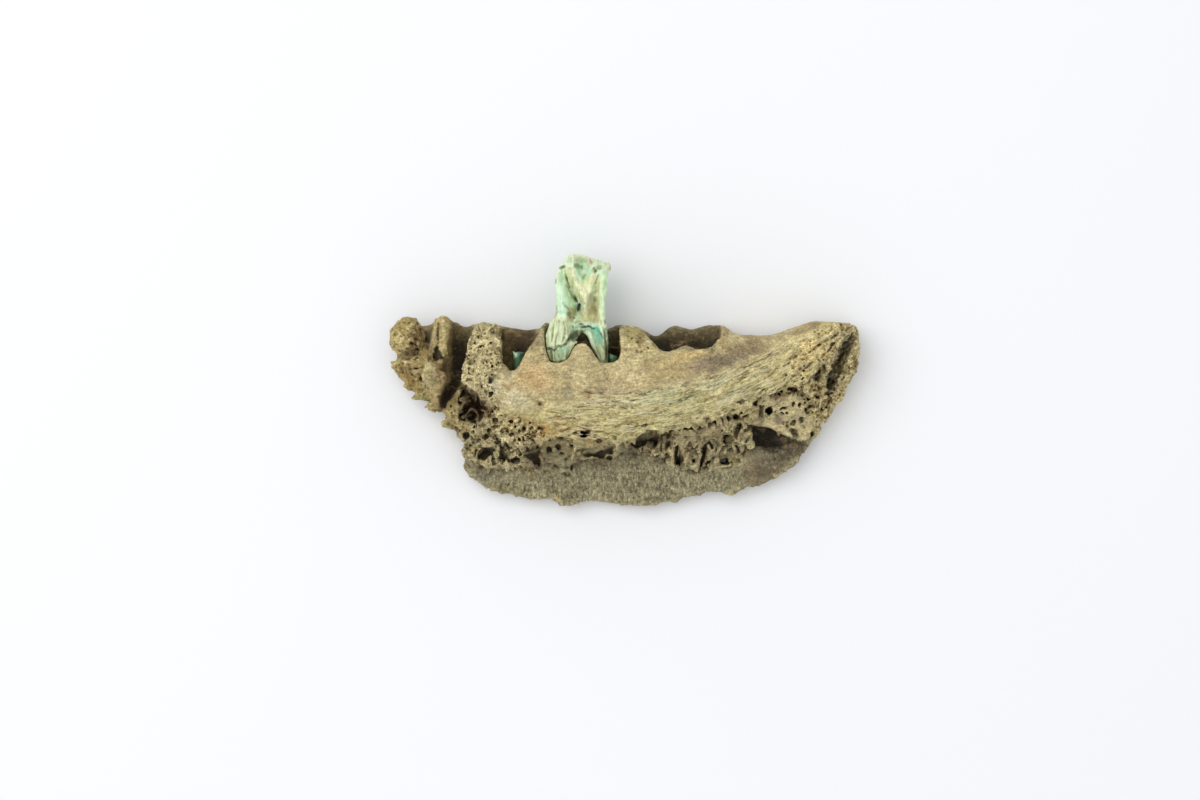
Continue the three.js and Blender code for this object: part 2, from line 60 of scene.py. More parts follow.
MM = 0.001
JAW_STEP = 0.12  # between the points of the clay's grid
SKIN = 1.7  # how far into and out from the skin distances are kept
MOST_TRIANGLES = 190000
TRIM = 0.01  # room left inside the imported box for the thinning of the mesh


class Clay:
    """A lump given as distances to its skin, below zero inside, at the points of a grid."""

    def __init__(self, node, step):
        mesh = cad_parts[node].data
        mesh.calc_loop_triangles()
        points = np.zeros(len(mesh.vertices) * 3, np.float32)
        mesh.vertices.foreach_get("co", points)
        triangles = np.zeros(len(mesh.loop_triangles) * 3, np.int32)
        mesh.loop_triangles.foreach_get("vertices", triangles)
        skin = vdb.FloatGrid.createLevelSetFromPolygons(
            (points / MM).reshape(-1, 3),
            triangles=triangles.astype(np.uint32).reshape(-1, 3),
            transform=vdb.createLinearTransform(voxelSize=step),
            halfWidth=SKIN / step,
        )
        low, high = skin.evalActiveVoxelBoundingBox()
        self.step, self.low = step, low
        self.field = np.zeros([b - a + 1 for a, b in zip(low, high)], np.float32)
        skin.copyToArray(self.field, ijk=low)
        # Brown dirt and painted shade, marked wherever the clay is cut into hollows, caves, cracks, cells and
        # under the broken lip
        self.dirt_and_shade = np.zeros_like(self.field)
        self.crook = lumpy(self.field.shape, 0.55 / step, 1) + 0.6 * lumpy(self.field.shape, 0.27 / step, 2)
        self.axes = [
            ((np.arange(count) + first) * step).astype(np.float32)
            for count, first in zip(self.field.shape, low)
        ]
        self.height = self.axes[2].reshape(1, 1, -1)
        self.page = np.meshgrid(*self.axes[:2], indexing="ij")

    def near(self, centre, reach):
        """The part of the grid round a point, and how far its points lie from that point."""
        window, offsets = [], []
        for number, (axis, at, far) in enumerate(zip(self.axes, centre, reach)):
            first, last = np.searchsorted(axis, [at - far, at + far])
            window.append(slice(first, last))
            offsets.append((axis[first:last] - at).reshape([-1 if n == number else 1 for n in range(3)]))
        return tuple(window), offsets

    def cut(self, window, shape, soft):
        self.field[window] = -met(-self.field[window], shape, soft)

    def join(self, window, shape, soft):
        self.field[window] = met(self.field[window], shape, soft)

    # Marks brown dirt and painted shade in a part of the grid
    def soil_and_shade(self, window, amount):
        self.dirt_and_shade[window] = np.maximum(self.dirt_and_shade[window], amount)

    def read(self, grid, points):
        """Values of a grid of this clay at any points, read between the grid's own."""
        spots = points / self.step - np.array(self.low)
        base = np.clip(np.floor(spots).astype(int), 0, np.array(grid.shape) - 2)
        part = np.clip(spots - base, 0, 1)
        value = 0
        for corner in np.ndindex(2, 2, 2):
            share = np.prod(np.where(corner, part, 1 - part), axis=1)
            value = value + share * grid[tuple((base + corner).T)]
        return value

    def read_page(self, values, points):
        """Values of a map of the page at any points."""
        flat = points * (1, 1, 0) + (0, 0, self.low[2] * self.step)
        return self.read(np.repeat(values[:, :, None], 2, axis=2), flat)

    def height_at(self, heights, x, y):
        """A map's height over one place of the page."""
        return self.read_page(heights, np.array([(x, y, 0.0)]))[0]

    def outward(self, points):
        """Unit vectors out of the skin at any points."""
        steps = np.eye(3) * self.step
        ahead = np.stack([self.read(self.field, points + step) for step in steps], 1)
        behind = np.stack([self.read(self.field, points - step) for step in steps], 1)
        way = ahead - behind
        return way / np.maximum(np.linalg.norm(way, axis=1, keepdims=True), 1e-6)

    def top(self):
        """Height of the highest skin over each point of the page."""
        inside = self.field < 0
        level = inside.shape[2] - 1 - np.argmax(inside[:, :, ::-1], axis=2)
        return np.where(inside.any(axis=2), self.axes[2][level], 0)


def met(a, b, soft):
    """Two distances joined, rounded over soft where they meet."""
    close = np.maximum(soft - np.abs(a - b), 0)
    return np.minimum(a, b) - close * close / (4 * soft)


def eased(value, low, high):
    """0 below low and 1 above high, with an even curve between. Where low is above high, it falls instead."""
    t = np.clip((value - low) / (high - low), 0, 1)
    return t * t * (3 - 2 * t)


def lumpy(shape, apart, seed):
    """Even-sized lumps from about -1 to 1 through a whole grid, a number of its points apart."""
    draw = np.random.default_rng(seed)
    values = draw.uniform(-1, 1, [int(n / apart) + 3 for n in shape]).astype(np.float32)
    for axis, count in enumerate(shape):
        place = np.arange(count) / apart
        base = place.astype(int)
        share = eased(place - base, 0, 1).astype(np.float32)
        share = share.reshape([-1 if n == axis else 1 for n in range(3)])
        values = np.take(values, base, axis) * (1 - share) + np.take(values, base + 1, axis) * share
    return values


def blurred(field, reach):
    """A field averaged over about reach grid points each way."""
    count = int(math.ceil(2 * reach))
    weights = np.exp(-0.5 * (np.arange(-count, count + 1) / reach) ** 2)
    weights /= weights.sum()
    for axis, size in enumerate(field.shape):
        edges = [(count, count) if n == axis else (0, 0) for n in range(field.ndim)]
        rows = np.moveaxis(np.pad(field, edges, mode="edge"), axis, 0)
        field = np.moveaxis(sum(w * rows[n:n + size] for n, w in enumerate(weights)), 0, axis)
    return np.ascontiguousarray(field, np.float32)


def crags(x, y, z=0.0, seed=0):
    """Uneven bumps from about -1 to 1, one unit across, at any points."""
    draw = np.random.default_rng(seed)
    table = draw.permutation(256)
    ways = draw.normal(size=(256, 3)).astype(np.float32)
    ways /= np.linalg.norm(ways, axis=1, keepdims=True)
    spots = np.broadcast_arrays(*[np.asarray(c, np.float32) for c in (x, y, z)])
    cells = [np.floor(c).astype(np.int32) for c in spots]
    parts = [c - f for c, f in zip(spots, cells)]
    eases = [t * t * t * (t * (6 * t - 15) + 10) for t in parts]
    value = 0
    for corner in np.ndindex(2, 2, 2):
        key, share = 0, 1
        for cell, ease, side in zip(cells, eases, corner):
            key = table[(key + cell + side) & 255]
            share = share * (ease if side else 1 - ease)
        way = ways[key]
        value = value + share * sum(way[..., n] * (parts[n] - corner[n]) for n in range(3))
    return value * 1.6


CELL_KINDS = 4096  # how many cells differ before they repeat
SCATTER = (7349, 19349, 83497)  # spreads neighbouring cells over the kinds


def between_cells(x, y, z, seed):
    """For places among uneven cells one unit across: the gap to the next cell, and two numbers of its own."""
    table = np.random.default_rng(seed).random((CELL_KINDS, 5)).astype(np.float32)
    base = [np.floor(c).astype(np.int64) for c in (x, y, z)]
    parts = [(c - b).astype(np.float32) for c, b in zip((x, y, z), base)]
    first = np.full(len(x), 9, np.float32)
    second, own = first.copy(), np.zeros(len(x), np.int64)
    for steps in np.ndindex(3, 3, 3):
        a, b, c = ((n + step - 1) * factor for n, step, factor in zip(base, steps, SCATTER))
        key = (a ^ b ^ c) & (CELL_KINDS - 1)
        gaps = [step - 1 + table[key, n] - part for n, (step, part) in enumerate(zip(steps, parts))]
        away = np.sqrt(sum(gap ** 2 for gap in gaps))
        own = np.where(away < first, key, own)
        second = np.where(away < first, first, np.minimum(second, away))
        first = np.minimum(first, away)
    return second - first, table[own, 3], table[own, 4]


def from_line(x, y, line):
    """Distance on the page from a chain of points, and how far along it the nearest place is, 0 to 1."""
    nearest, share = np.full(np.shape(x), 1e9), np.zeros(np.shape(x))
    for number, ((x0, y0), (x1, y1)) in enumerate(zip(line, line[1:])):
        dx, dy = x1 - x0, y1 - y0
        t = np.clip(((x - x0) * dx + (y - y0) * dy) / (dx * dx + dy * dy), 0, 1)
        away = np.hypot(x - x0 - t * dx, y - y0 - t * dy)
        share = np.where(away < nearest, (number + t) / (len(line) - 1), share)
        nearest = np.minimum(nearest, away)
    return nearest, share


def depth_inside(x, y, outline):
    """How far places on the page lie inside an outline, below zero outside it."""
    ring = outline + outline[:1]
    inside = np.zeros(np.shape(x), bool)
    for (x0, y0), (x1, y1) in zip(ring, ring[1:]):
        inside ^= ((y0 > y) != (y1 > y)) & (x < x0 + (y - y0) * (x1 - x0) / ((y1 - y0) or 1e-9))
    nearest, _ = from_line(x, y, ring)
    return np.where(inside, nearest, -nearest)


def spread(outline, spare):
    """The middle of an outline, and how far it reaches from there, with room to spare."""
    corners = np.array(outline)
    return (corners.max(axis=0) + corners.min(axis=0)) / 2, np.ptp(corners, axis=0) / 2 + spare


def turned(dx, dy, along, across, turn):
    """Offsets on the page along and across a way turned by some degrees, as shares of two half sizes."""
    c, s = math.cos(math.radians(turn)), math.sin(math.radians(turn))
    return (dx * c + dy * s) / along, (dy * c - dx * s) / across


def steps_along(line, apart):
    """Places along a chain of points, a distance apart, each with the way that the chain runs there."""
    for (x0, y0), (x1, y1) in zip(line, line[1:]):
        length = math.hypot(x1 - x0, y1 - y0)
        for t in np.arange(0, 1, apart / length):
            yield x0 + t * (x1 - x0), y0 + t * (y1 - y0), (x1 - x0) / length, (y1 - y0) / length


def region(page, outline, feather=0.4, ragged=0.35):
    """1 inside an outline on the page and 0 outside, with a soft and uneven border."""
    x, y = page
    return eased(depth_inside(x, y, outline) + ragged * crags(x * 0.9, y * 0.9, seed=5), -feather, feather)


def grain_line(x, y):
    """Which strand of the bone's grain a place lies on: straight at the near end, rising at the far end."""
    return y - 0.0147 * np.maximum(x + 2.6, 0) ** 2 + 0.25 * crags(x * 0.25, y * 0.5, seed=11)


# Zones of the jaw seen from above
ZONES = {
    "wall": [(-13.2, -0.4), (-11.6, -0.6), (-4.6, 1.8), (2.2, 1.6), (9, 1.8), (13, 3.2), (19, 4.4),
             (20.6, 3.4), (16.2, 0.6), (11.4, -1.8), (3, -4), (-4, -4.8), (-8.6, -4.4), (-12, -2.6)],
    "crest": [(9.4, 4.4), (12, 5.4), (17, 5.4), (21, 6.8), (22.6, 6.2), (20, 4.7), (17, 4), (15.5, 2.9),
              (12, 1.5), (9, 1)],
    "layers": [(-8.6, -3.4), (-4, -2), (2, -1), (8, 0.2), (13, 1.8), (17.4, 3.8), (21.4, 5.6), (23.4, 6),
               (22.6, 2.6), (20.6, 0.6), (17, -0.8), (12.4, -3.4), (4, -5.6), (-3, -6.6), (-7, -6)],
    "fine": [(-16.4, 5.7), (-15.3, 6.2), (-13.2, 5.9), (-13.2, 3.4), (-13, 1.6), (-13.4, 0.4),
             (-14.3, -0.5), (-13.6, -2.0), (-13.6, -3.4), (-14.4, -3.3), (-15.9, -1.2), (-17.5, -0.5),
             (-17.2, 1.2), (-16.7, 4.6)],
    "band": [(-14.2, -2.4), (-12.6, -3.8), (-10.6, -4.4), (-8.6, -5.2), (-8.4, -6.1), (-9.6, -6.9),
             (-10.3, -7.6), (-12.3, -7.2), (-13.6, -6.7), (-14.4, -5.4)],
    "left": [(-17.7, -4.9), (-16.4, -4.5), (-14.8, -4.6), (-13.8, -6.4), (-12.4, -6.9), (-10.6, -7.5),
             (-9.4, -9.8), (-13.4, -9.6), (-16.4, -9.4), (-17.8, -8), (-17, -6.8), (-18.2, -6)],
    "dome": [(-9.4, -6.8), (-8.6, -6.3), (-7.5, -6.1), (-6.2, -6.2), (-5.2, -7), (-4, -7.3), (-1, -7.3),
             (-1, -8.6), (-5.2, -8.6), (-6.2, -9.9), (-8, -10.1), (-9.2, -9.6)],
    "right": [(1.2, -7.3), (3.6, -7.0), (4.3, -6.2), (6.2, -6.5), (10.4, -6.4), (10.6, -5.2),
              (12.4, -3.9), (14.0, -4.2), (14.1, -7), (13, -8.8), (11, -9.8), (8, -9.8), (5, -9.3),
              (2.8, -8.4)],
    "ledge": [(5.9, -5.7), (7.7, -5.5), (8.3, -4.5), (10.6, -4.3), (12.2, -3.4), (12, -4.9),
              (10.6, -5.2), (10.4, -6.4), (7, -6.5), (6.1, -6.6)],
    "shelf": [(13.8, -2.2), (16, -1.4), (18.5, -1.2), (20.1, -2.2), (20.7, -4), (20.3, -6.5),
              (18.3, -6.1), (16.4, -5.3), (14.9, -4.8)],
    "end": [(19.4, -0.6), (20.8, 0.9), (22.4, 3.2), (23.4, 5.6), (25, 6.5), (26, 4.9), (25.6, 0.6),
            (24, -2), (21.3, -6.2), (20.3, -6.5), (20.7, -4), (19.4, -2.4)],
    "frayed": [(17.4, 0.2), (18.2, 2.8), (19.6, 4.6), (21.8, 5.7), (23.6, 6.3), (24.8, 5.8), (23.6, 3.6),
               (22.4, 1.2), (21.6, -1.4), (20.6, -2.8), (19.2, -1.4)],
    "knob": [(-26, 4.9), (-24.4, 7.2), (-21.9, 6.2), (-21.6, 4), (-21.8, 2.4), (-24.9, 2.4)],
    "edge": [(-26, 2.6), (-22, 2.2), (-21.4, -0.4), (-20, -3), (-18, -2.2), (-18, -4.2), (-16.8, -5),
             (-18.6, -5.8), (-22, -3.4), (-26, 0.6)],
    "partition": [(-0.6, 6.2), (1.9, 6.1), (3.2, 4.6), (3.4, 3.4), (1.4, 2.6), (-0.4, 3.2)],
    "rim": [(-9.4, 5.6), (-8.2, 6.6), (-7.9, 2.2), (-9.6, 2.6), (-11, 1.2), (-11.2, 3)],
}
FLECKED = [(-15, -10.6), (-6, -9.8), (2, -8.8), (8, -9.8), (13, -10.2), (12, -12), (0, -14), (-10, -13.6)]
# The sockets' mouths, which are packed with dark soil and darkened further with painted shade
SOCKET_MOUTHS = [
    [(-18.8, 6.2), (-16.4, 6.2), (-17.1, 2), (-17.6, -0.2), (-19.1, -2.4), (-20.2, -3.4), (-20.0, -1.6),
     (-19, 0), (-18.8, 3)],
    [(-13.3, 6.2), (-9.0, 6.2), (-10.5, 2.8), (-12.2, 0.4), (-13.4, 1.8)],
    [(-8.6, 6.2), (-8.5, 2.2), (-7, 1.4), (-5.8, 2.6), (-4.4, 4.4), (-3.4, 3.3), (-2.2, 1.4),
     (-0.4, 1.6), (-0.2, 6.2)],
    [(2, 6.2), (2.6, 4.4), (4, 2.8), (5.5, 2.8), (7, 3.6), (9, 3), (10.6, 4.4), (10.5, 6.2)],
]
# Caves with uneven walls: outline and depth
CAVES = [
    ([(-17.6, -1), (-16.9, -0.5), (-16.3, -1.4), (-15.7, -1.9), (-15.1, -2.8), (-14.9, -4),
      (-16.1, -4.6), (-17.3, -4.4), (-18, -4.2), (-17.9, -3.2), (-17.9, -2.2)], 2.6),
    ([(-15.9, -8.3), (-15.3, -7.4), (-14.4, -7.2), (-14.0, -7.6), (-14.2, -8.1), (-14.9, -8.5),
      (-15.4, -9)], 1.4),
    ([(-13.5, -7.2), (-13, -6.9), (-12.4, -6.9), (-12.2, -7.8), (-12.6, -8.5), (-13.3, -8.7)], 1.3),
    ([(-11, -7.7), (-10, -7.7), (-9.6, -7), (-9.2, -6.8), (-9.2, -8.2), (-9.0, -9.3), (-9.5, -9.7),
      (-9.8, -9), (-10.4, -8.4), (-10.9, -8.4)], 1.3),
    ([(-4.9, -7.3), (-3.4, -7.2), (-1.2, -7.3), (-1.4, -8.1), (-3, -8.4), (-4.3, -8.3)], 0.9),
    ([(0.6, -6.9), (1.6, -6.4), (2.9, -6.2), (3.7, -5.9), (4.9, -5.8), (4.9, -6.1), (4.4, -6.4),
      (3.9, -6.9), (3.2, -7), (1.8, -7.3), (0.8, -7.2)], 1.2),
    ([(5.5, -7.2), (5.9, -7), (6.2, -7.9), (6.3, -8.5), (6.1, -9.4), (5.5, -9.2), (5.5, -8.4)], 1.6),
    ([(8.5, -6.8), (8.95, -6.8), (9.0, -7.7), (8.9, -8.4), (8.3, -9.5), (8.3, -8.6), (8.5, -7.8)], 1.5),
    ([(9.1, -6.6), (10.3, -6.5), (10.3, -7.1), (9.6, -7.3), (9.2, -7)], 0.9),
    ([(10.7, -6.6), (10.9, -6), (11.3, -5.8), (11.8, -6.2), (11.6, -6.8), (11, -6.9)], 1.4),
    ([(12, -5), (12.4, -5), (12.7, -5.7), (13.3, -6.2), (12.9, -6.4), (12.2, -5.8)], 1.2),
    ([(13.9, -5.2), (15, -5.1), (16.2, -5.4), (17.2, -6.1), (18, -6.7), (17, -7.2), (15.4, -7.3),
      (14.2, -7)], 0.8),
    ([(14.7, -2.8), (15.1, -2.9), (15.2, -4.6), (14.9, -4.9), (14.6, -4)], 0.8),
    ([(-20.15, 3.9), (-19.8, 2.9), (-19.5, 2.3), (-20.2, 2.15), (-20.9, 1.9), (-20.6, 2.8)], 0.9),
    ([(24.6, 5.2), (23.7, 3.8), (23.2, 2.5), (22.6, 1.3), (22.1, 0.5), (22.1, -1.4), (22.8, -1.5),
      (23, -0.3), (23.6, 1), (24.1, 2.4), (24.9, 4.2)], 1.3),
]
# Hollows with insides darkened by dirt and painted shade: x, y, half sizes along and across, turn in degrees
# and depth
HOLLOWS = [
    (-15.45, -4.9, 0.36, 0.25, 0, 0.9), (-14.7, -5.4, 0.25, 0.12, 0, 0.5),
    (-17.1, -6.0, 0.45, 0.38, 0, 0.9), (-15.1, -6.2, 0.5, 0.25, 20, 0.9),
    (-14.05, -6.1, 0.3, 0.35, 0, 0.9), (-13.1, -5.55, 0.28, 0.26, 0, 0.6),
    (-12.65, -5.5, 0.2, 0.32, 0, 0.6), (-13.2, -6.05, 0.2, 0.16, 0, 0.4),
    (-11.7, -5.0, 0.12, 0.12, 0, 0.4), (-11.8, -5.75, 0.24, 0.18, 0, 0.6),
    (-11.3, -5.5, 0.14, 0.14, 0, 0.5), (-10.8, -5.3, 0.18, 0.28, 0, 0.6),
    (-10.35, -5.9, 0.2, 0.12, 0, 0.4), (-11.3, -6.4, 0.15, 0.15, 0, 0.5),
    (-10.85, -6.6, 0.15, 0.2, 0, 0.5), (-12.2, -4.5, 0.2, 0.15, 0, 0.4), (-14, -4.5, 0.35, 0.3, 0, 0.5),
    (-14.7, -3.6, 0.22, 0.6, 10, 0.9), (-11.9, -7.1, 0.36, 0.22, 0, 0.6), (-11, -7.25, 0.3, 0.12, 0, 0.5),
    (-12.5, -8.8, 0.15, 0.3, 0, 0.7), (-11.7, -8.75, 0.45, 0.28, 0, 0.9),
    (-16.7, -8.5, 0.13, 0.13, 0, 0.3), (-13.9, -4.0, 0.12, 0.2, 0, 0.4),
    (-8.15, -7.6, 0.34, 0.45, 0, 0.6), (-7.1, -7.3, 0.3, 0.42, 20, 0.6), (-6.75, -8, 0.28, 0.22, 0, 0.4),
    (-8, -6.5, 0.18, 0.12, 0, 0.4), (-6.3, -8.6, 0.2, 0.2, 0, 0.25), (-5.7, -9.6, 0.12, 0.36, 0, 0.6),
    (-5.2, -9.2, 0.3, 0.2, 0, 0.2), (-6.3, -10.3, 0.5, 0.32, 0, 0.25), (-4.5, -6.0, 0.22, 0.4, 15, 0.9),
    (-3.9, -5.65, 0.26, 0.22, 30, 1.0), (-2.7, -6.6, 0.4, 0.26, 10, 0.9), (-3.8, -8.1, 0.36, 0.3, 0, 0.9),
    (-2.5, -8.1, 0.6, 0.45, 0, 1.2), (-1.6, -8.5, 0.4, 0.32, -20, 0.9), (5.35, -5.05, 0.14, 0.28, 0, 0.7),
    (5.8, -5.95, 0.25, 0.14, 15, 0.5), (4.8, -7.0, 0.48, 0.3, 32, 0.9), (7.8, -5.05, 0.28, 0.3, 0, 1.2),
    (9.1, -4.4, 0.24, 0.34, 15, 1.1), (8.5, -4.8, 0.45, 0.25, 20, 0.4), (9.6, -4.7, 0.3, 0.1, 25, 0.4),
    (10.9, -4.0, 0.16, 0.12, 20, 0.5), (12.1, -4.0, 0.34, 0.28, 0, 1.1),
    (12.8, -3.4, 0.35, 0.16, 40, 0.7), (10.6, -5.5, 0.12, 0.14, 0, 0.5),
    (7.55, -7.35, 0.14, 0.14, 0, 0.5), (7.0, -7.6, 0.12, 0.12, 0, 0.3), (7.1, -8.3, 0.12, 0.15, 0, 0.3),
    (7.6, -8.8, 0.2, 0.2, 0, 0.7), (10.9, -8.8, 0.44, 0.42, 0, 1.2), (11.5, -7.6, 0.25, 0.2, 0, 0.7),
    (12.2, -7.2, 0.14, 0.16, 0, 0.5), (12.7, -7.7, 0.2, 0.14, 0, 0.4), (15.75, -3.35, 0.4, 0.42, 0, 1.5),
    (14.2, -2.4, 0.3, 0.18, 30, 0.7), (17.3, -3.12, 0.3, 0.1, 10, 0.4), (19.9, -3.35, 0.26, 0.24, 0, 0.8),
    (19, -2.75, 0.14, 0.2, 0, 0.5), (20.5, -2.9, 0.3, 0.12, 10, 0.5), (21, -1.85, 0.18, 0.2, 0, 0.6),
    (21.9, -2.9, 0.34, 0.18, -20, 0.5), (22.4, -2.1, 0.18, 0.3, 0, 0.5), (21.3, -0.9, 0.18, 0.2, 0, 0.5),
    (20.4, -0.6, 0.2, 0.15, 0, 0.4), (20.1, -6, 0.3, 0.18, 0, 0.4), (21.6, 4.3, 0.5, 0.2, 32, 0.3),
    (21.9, 2.8, 0.5, 0.2, 25, 0.3), (21.8, 1.1, 0.24, 0.45, -30, 0.6), (20.7, 0.5, 0.5, 0.2, 30, 0.3),
    (22.8, 4.8, 0.5, 0.13, 42, 0.3), (18.3, 2.45, 0.5, 0.08, 22, 0.2), (17.4, 0.55, 0.5, 0.1, 40, 0.25),
    (25, 4.9, 0.34, 0.34, 0, 0.5), (-13.7, 5.2, 0.42, 0.3, -25, 0.8), (-14.2, 5.5, 0.2, 0.14, 0, 0.5),
    (-9.1, -2.6, 0.2, 0.2, 0, 0.25), (-8.7, 5.8, 0.2, 0.28, 0, 0.5), (-23.3, 3.4, 0.26, 0.15, 0, 0.4),
    (-22.9, 3.95, 0.3, 0.12, -15, 0.35), (-22.5, 4.4, 0.3, 0.1, -15, 0.3),
    (-22.7, 2.75, 0.2, 0.12, 0, 0.35), (-22.4, 3.35, 0.25, 0.1, -20, 0.3),
    (-23.6, 2.75, 0.16, 0.1, 0, 0.3), (-23.4, 1.2, 0.5, 0.1, -5, 0.3), (-22.6, 1.25, 0.4, 0.1, 0, 0.3),
    (-22, 0.2, 0.2, 0.26, 0, 0.5), (-24.6, 4.2, 0.1, 0.3, -15, 0.25), (-24.9, 4.9, 0.1, 0.3, -10, 0.25),
]
# Narrow cracks and slits along the grain: line, half width and depth
CRACKS = [
    ([(-20.1, 6.2), (-20.15, 5.2), (-20.1, 3.9)], 0.1, 0.5),
    ([(-24.7, 2.5), (-23.5, 2.3), (-22.3, 2.25)], 0.1, 0.25),
    ([(0.0, -1.6), (1.6, -1.5), (3.4, -1.15), (5.1, -0.95)], 0.08, 0.18),
    ([(-4.3, -1.25), (-3.4, -1.5), (-2.2, -1.4)], 0.07, 0.1),
    ([(-2.5, -2.95), (0.7, -3.0), (3, -2.98), (5.1, -2.7)], 0.06, 0.13),
    ([(-8, -4.1), (-6.5, -4.05), (-5.2, -4.15)], 0.07, 0.14),
    ([(-7.4, -4.75), (-5.2, -4.7), (-3.4, -4.85)], 0.05, 0.1),
    ([(-7.2, -5.5), (-5.4, -5.1), (-4, -5.2)], 0.07, 0.16),
    ([(-6, -5.95), (-4.9, -5.7), (-4.2, -5.5)], 0.06, 0.16),
    ([(-1, -4.9), (1.5, -4.6), (3.4, -4.4)], 0.05, 0.1), ([(6.6, -4.6), (7.2, -4.1)], 0.06, 0.2),
    ([(5.6, -2.2), (8.4, -1.6), (10.2, -1.0)], 0.05, 0.1),
    ([(11, -0.6), (13.4, 0.5), (15, 1.4)], 0.06, 0.12),
    ([(12.8, 1.3), (14.6, 2.1), (16.2, 3.0)], 0.05, 0.1),
    ([(15.6, 0.4), (17.2, 1.5), (18.2, 2.2)], 0.06, 0.14),
    ([(19.5, 2.6), (20.8, 3.5), (22, 4.5)], 0.07, 0.2),
    ([(18.2, 0.2), (19.4, 1.0), (20.4, 1.9)], 0.06, 0.18),
    ([(12.6, -2.4), (14.2, -1.7), (15.4, -0.9)], 0.05, 0.12),
    ([(21.2, 2.2), (22.2, 3.3), (23, 4.5)], 0.07, 0.2), ([(-21.3, 1.5), (-20.8, 1.95)], 0.1, 0.2),
    ([(16.1, -1.5), (17.2, -1.5), (18.4, -1.1)], 0.1, 0.25),
]
# Upright thin plates and struts left between the hollows: their lines, half thickness and rise
PLATES = [
    ([(2.8, -8.2), (3.5, -7.4), (3.9, -7.0)], 0.08, 0.5),
    ([(4.3, -7.6), (4.3, -6.9), (4.9, -6.4), (6, -5.75)], 0.1, 0.9),
    ([(4.6, -7.7), (5.5, -7.1), (6, -6.5)], 0.14, 0.8),
    ([(8.0, -7.1), (8.3, -8.0), (8.1, -9.2), (7.9, -9.8)], 0.13, 0.8),
    ([(8.8, -9.0), (9.2, -8.3)], 0.07, 0.4), ([(10.4, -6.6), (10.5, -7.4), (10.2, -7.9)], 0.1, 0.6),
    ([(11.0, -5.6), (11.6, -5.6), (12.0, -6.4), (11.8, -7.1), (12.0, -7.4)], 0.13, 0.7),
    ([(12.8, -5.2), (13.4, -6.0), (13.8, -6.5), (13.9, -7), (12.9, -6.8), (12.1, -6.5)], 0.12, 0.8),
    ([(6.3, -6.5), (8.0, -6.45), (9.2, -6.35), (10.4, -6.4)], 0.1, 0.5),
    ([(-3.5, -5.9), (-3.6, -7.1)], 0.14, 0.5), ([(-13.9, -7.9), (-13.85, -8.9)], 0.16, 0.4),
    ([(-12.2, -9.2), (-11.4, -9.2), (-11.1, -8.8)], 0.09, 0.4),
    ([(-18.1, -3.6), (-17.6, -3), (-17.4, -2.5), (-16.7, -2.3)], 0.09, 0.2),
    ([(-16.2, -7), (-15, -6.8)], 0.15, 0.3),
    ([(-17.4, -4), (-16.9, -3.5), (-16.6, -3.1), (-16.2, -3.2), (-15.7, -3.9)], 0.09, 0.1),
    ([(-5.4, -7), (-5.5, -8.2), (-6.0, -9.3)], 0.12, 0.25), ([(-9.0, -8.2), (-8.8, -9.4)], 0.1, 0.3),
]
# Thin crests that stand on the skin: their lines, thickness and how far they stand up
CRESTS = [
    ([(-16, 5.6), (-16.8, 3.9), (-17, 2.8), (-17.4, 1.2), (-17.5, -0.1), (-18, -1.2), (-18.7, -1.9),
      (-19, -2.4)], 0.12, 0.12),
    ([(-21.5, 2.9), (-21.4, 1.6), (-21.7, 0.4), (-21.3, -0.6), (-20.7, -1.3), (-20.2, -2), (-20, -3)],
     0.16, 0.14),
    ([(-22.4, 0.4), (-22.2, -0.2), (-21.8, -0.5)], 0.1, 0.1), ([(-22.0, 3.5), (-21.6, 2.6)], 0.07, 0.06),
    ([(-22.5, 2.9), (-21.7, 2.4)], 0.07, 0.06), ([(-22.8, 2.3), (-21.8, 2.05)], 0.07, 0.06),
    ([(-25.1, 1.9), (-24, 1.6), (-22.9, 1.5), (-22, 1.45)], 0.1, 0.08),
    ([(-20.4, 6.5), (-20.5, 5.2), (-20.8, 3.8), (-21.2, 2.6)], 0.22, 0.12),
    ([(-19.7, 6.7), (-19.5, 5.2), (-19.4, 3.6), (-19.2, 2.4)], 0.26, 0.12),
    ([(16.9, -2.8), (17.3, -3.3), (18.2, -3.3), (18.6, -2.8)], 0.14, 0.12),
    ([(14.9, -4.85), (15.6, -5.0), (16.4, -5.2), (17, -5.7), (17.6, -6.1), (18.6, -6.3), (19.3, -6.6)],
     0.13, 0.08),
    ([(23.7, 4.5), (23.2, 3.4), (22.8, 2.3), (22, 1.2), (21.8, 0.2)], 0.13, 0.1),
    ([(-5.6, -6.9), (-5.0, -7.1), (-4.4, -6.9)], 0.1, 0.06),
    ([(-20.7, 1.1), (-20.4, 0.2), (-20.2, -0.7)], 0.9, 0.3),
]
# The lip of the broken outer wall, and how far the hollow runs in under it at each x
LIP = [
    (18.6, -0.9), (17.6, -0.75), (16.5, -1.4), (14.45, -1.95), (12.8, -3.25), (10.65, -4.15), (9, -4.25),
    (8.25, -4.9), (5.2, -5.2), (3.9, -5.65), (2.8, -5.35), (1.1, -6.4), (-1.95, -7.15), (-5.1, -7.4),
    (-5.55, -6.5), (-6.4, -6.1), (-8.05, -6.2), (-9.8, -7.3), (-10.85, -7.4), (-12.15, -7.05),
    (-13.8, -5.45), (-14.55, -3.25),
]
LIP_REACH = [
    (-12.2, 0), (-11, 0.4), (-9.6, 0.3), (-9.2, 0), (-5.6, 0), (-4.6, 0.7), (-3, 0.85), (-1, 0.6),
    (0.5, 0.6), (1.5, 0.9), (3.5, 0.9), (4.6, 0.5), (5.5, 0.17), (13, 0.17), (14, 0), (15.4, 0),
    (16, 0.17), (18, 0.17),
]
SHELF_LIP = [
    (20, -7.0), (19.3, -6.7), (18.6, -6.4), (17.6, -6.2), (17, -5.8), (16.4, -5.3), (15.6, -5.1),
    (14.6, -4.9),
]
SHELF_REACH = [(14.4, 0.3), (16, 0.45), (18, 0.5), (20, 0.2)]
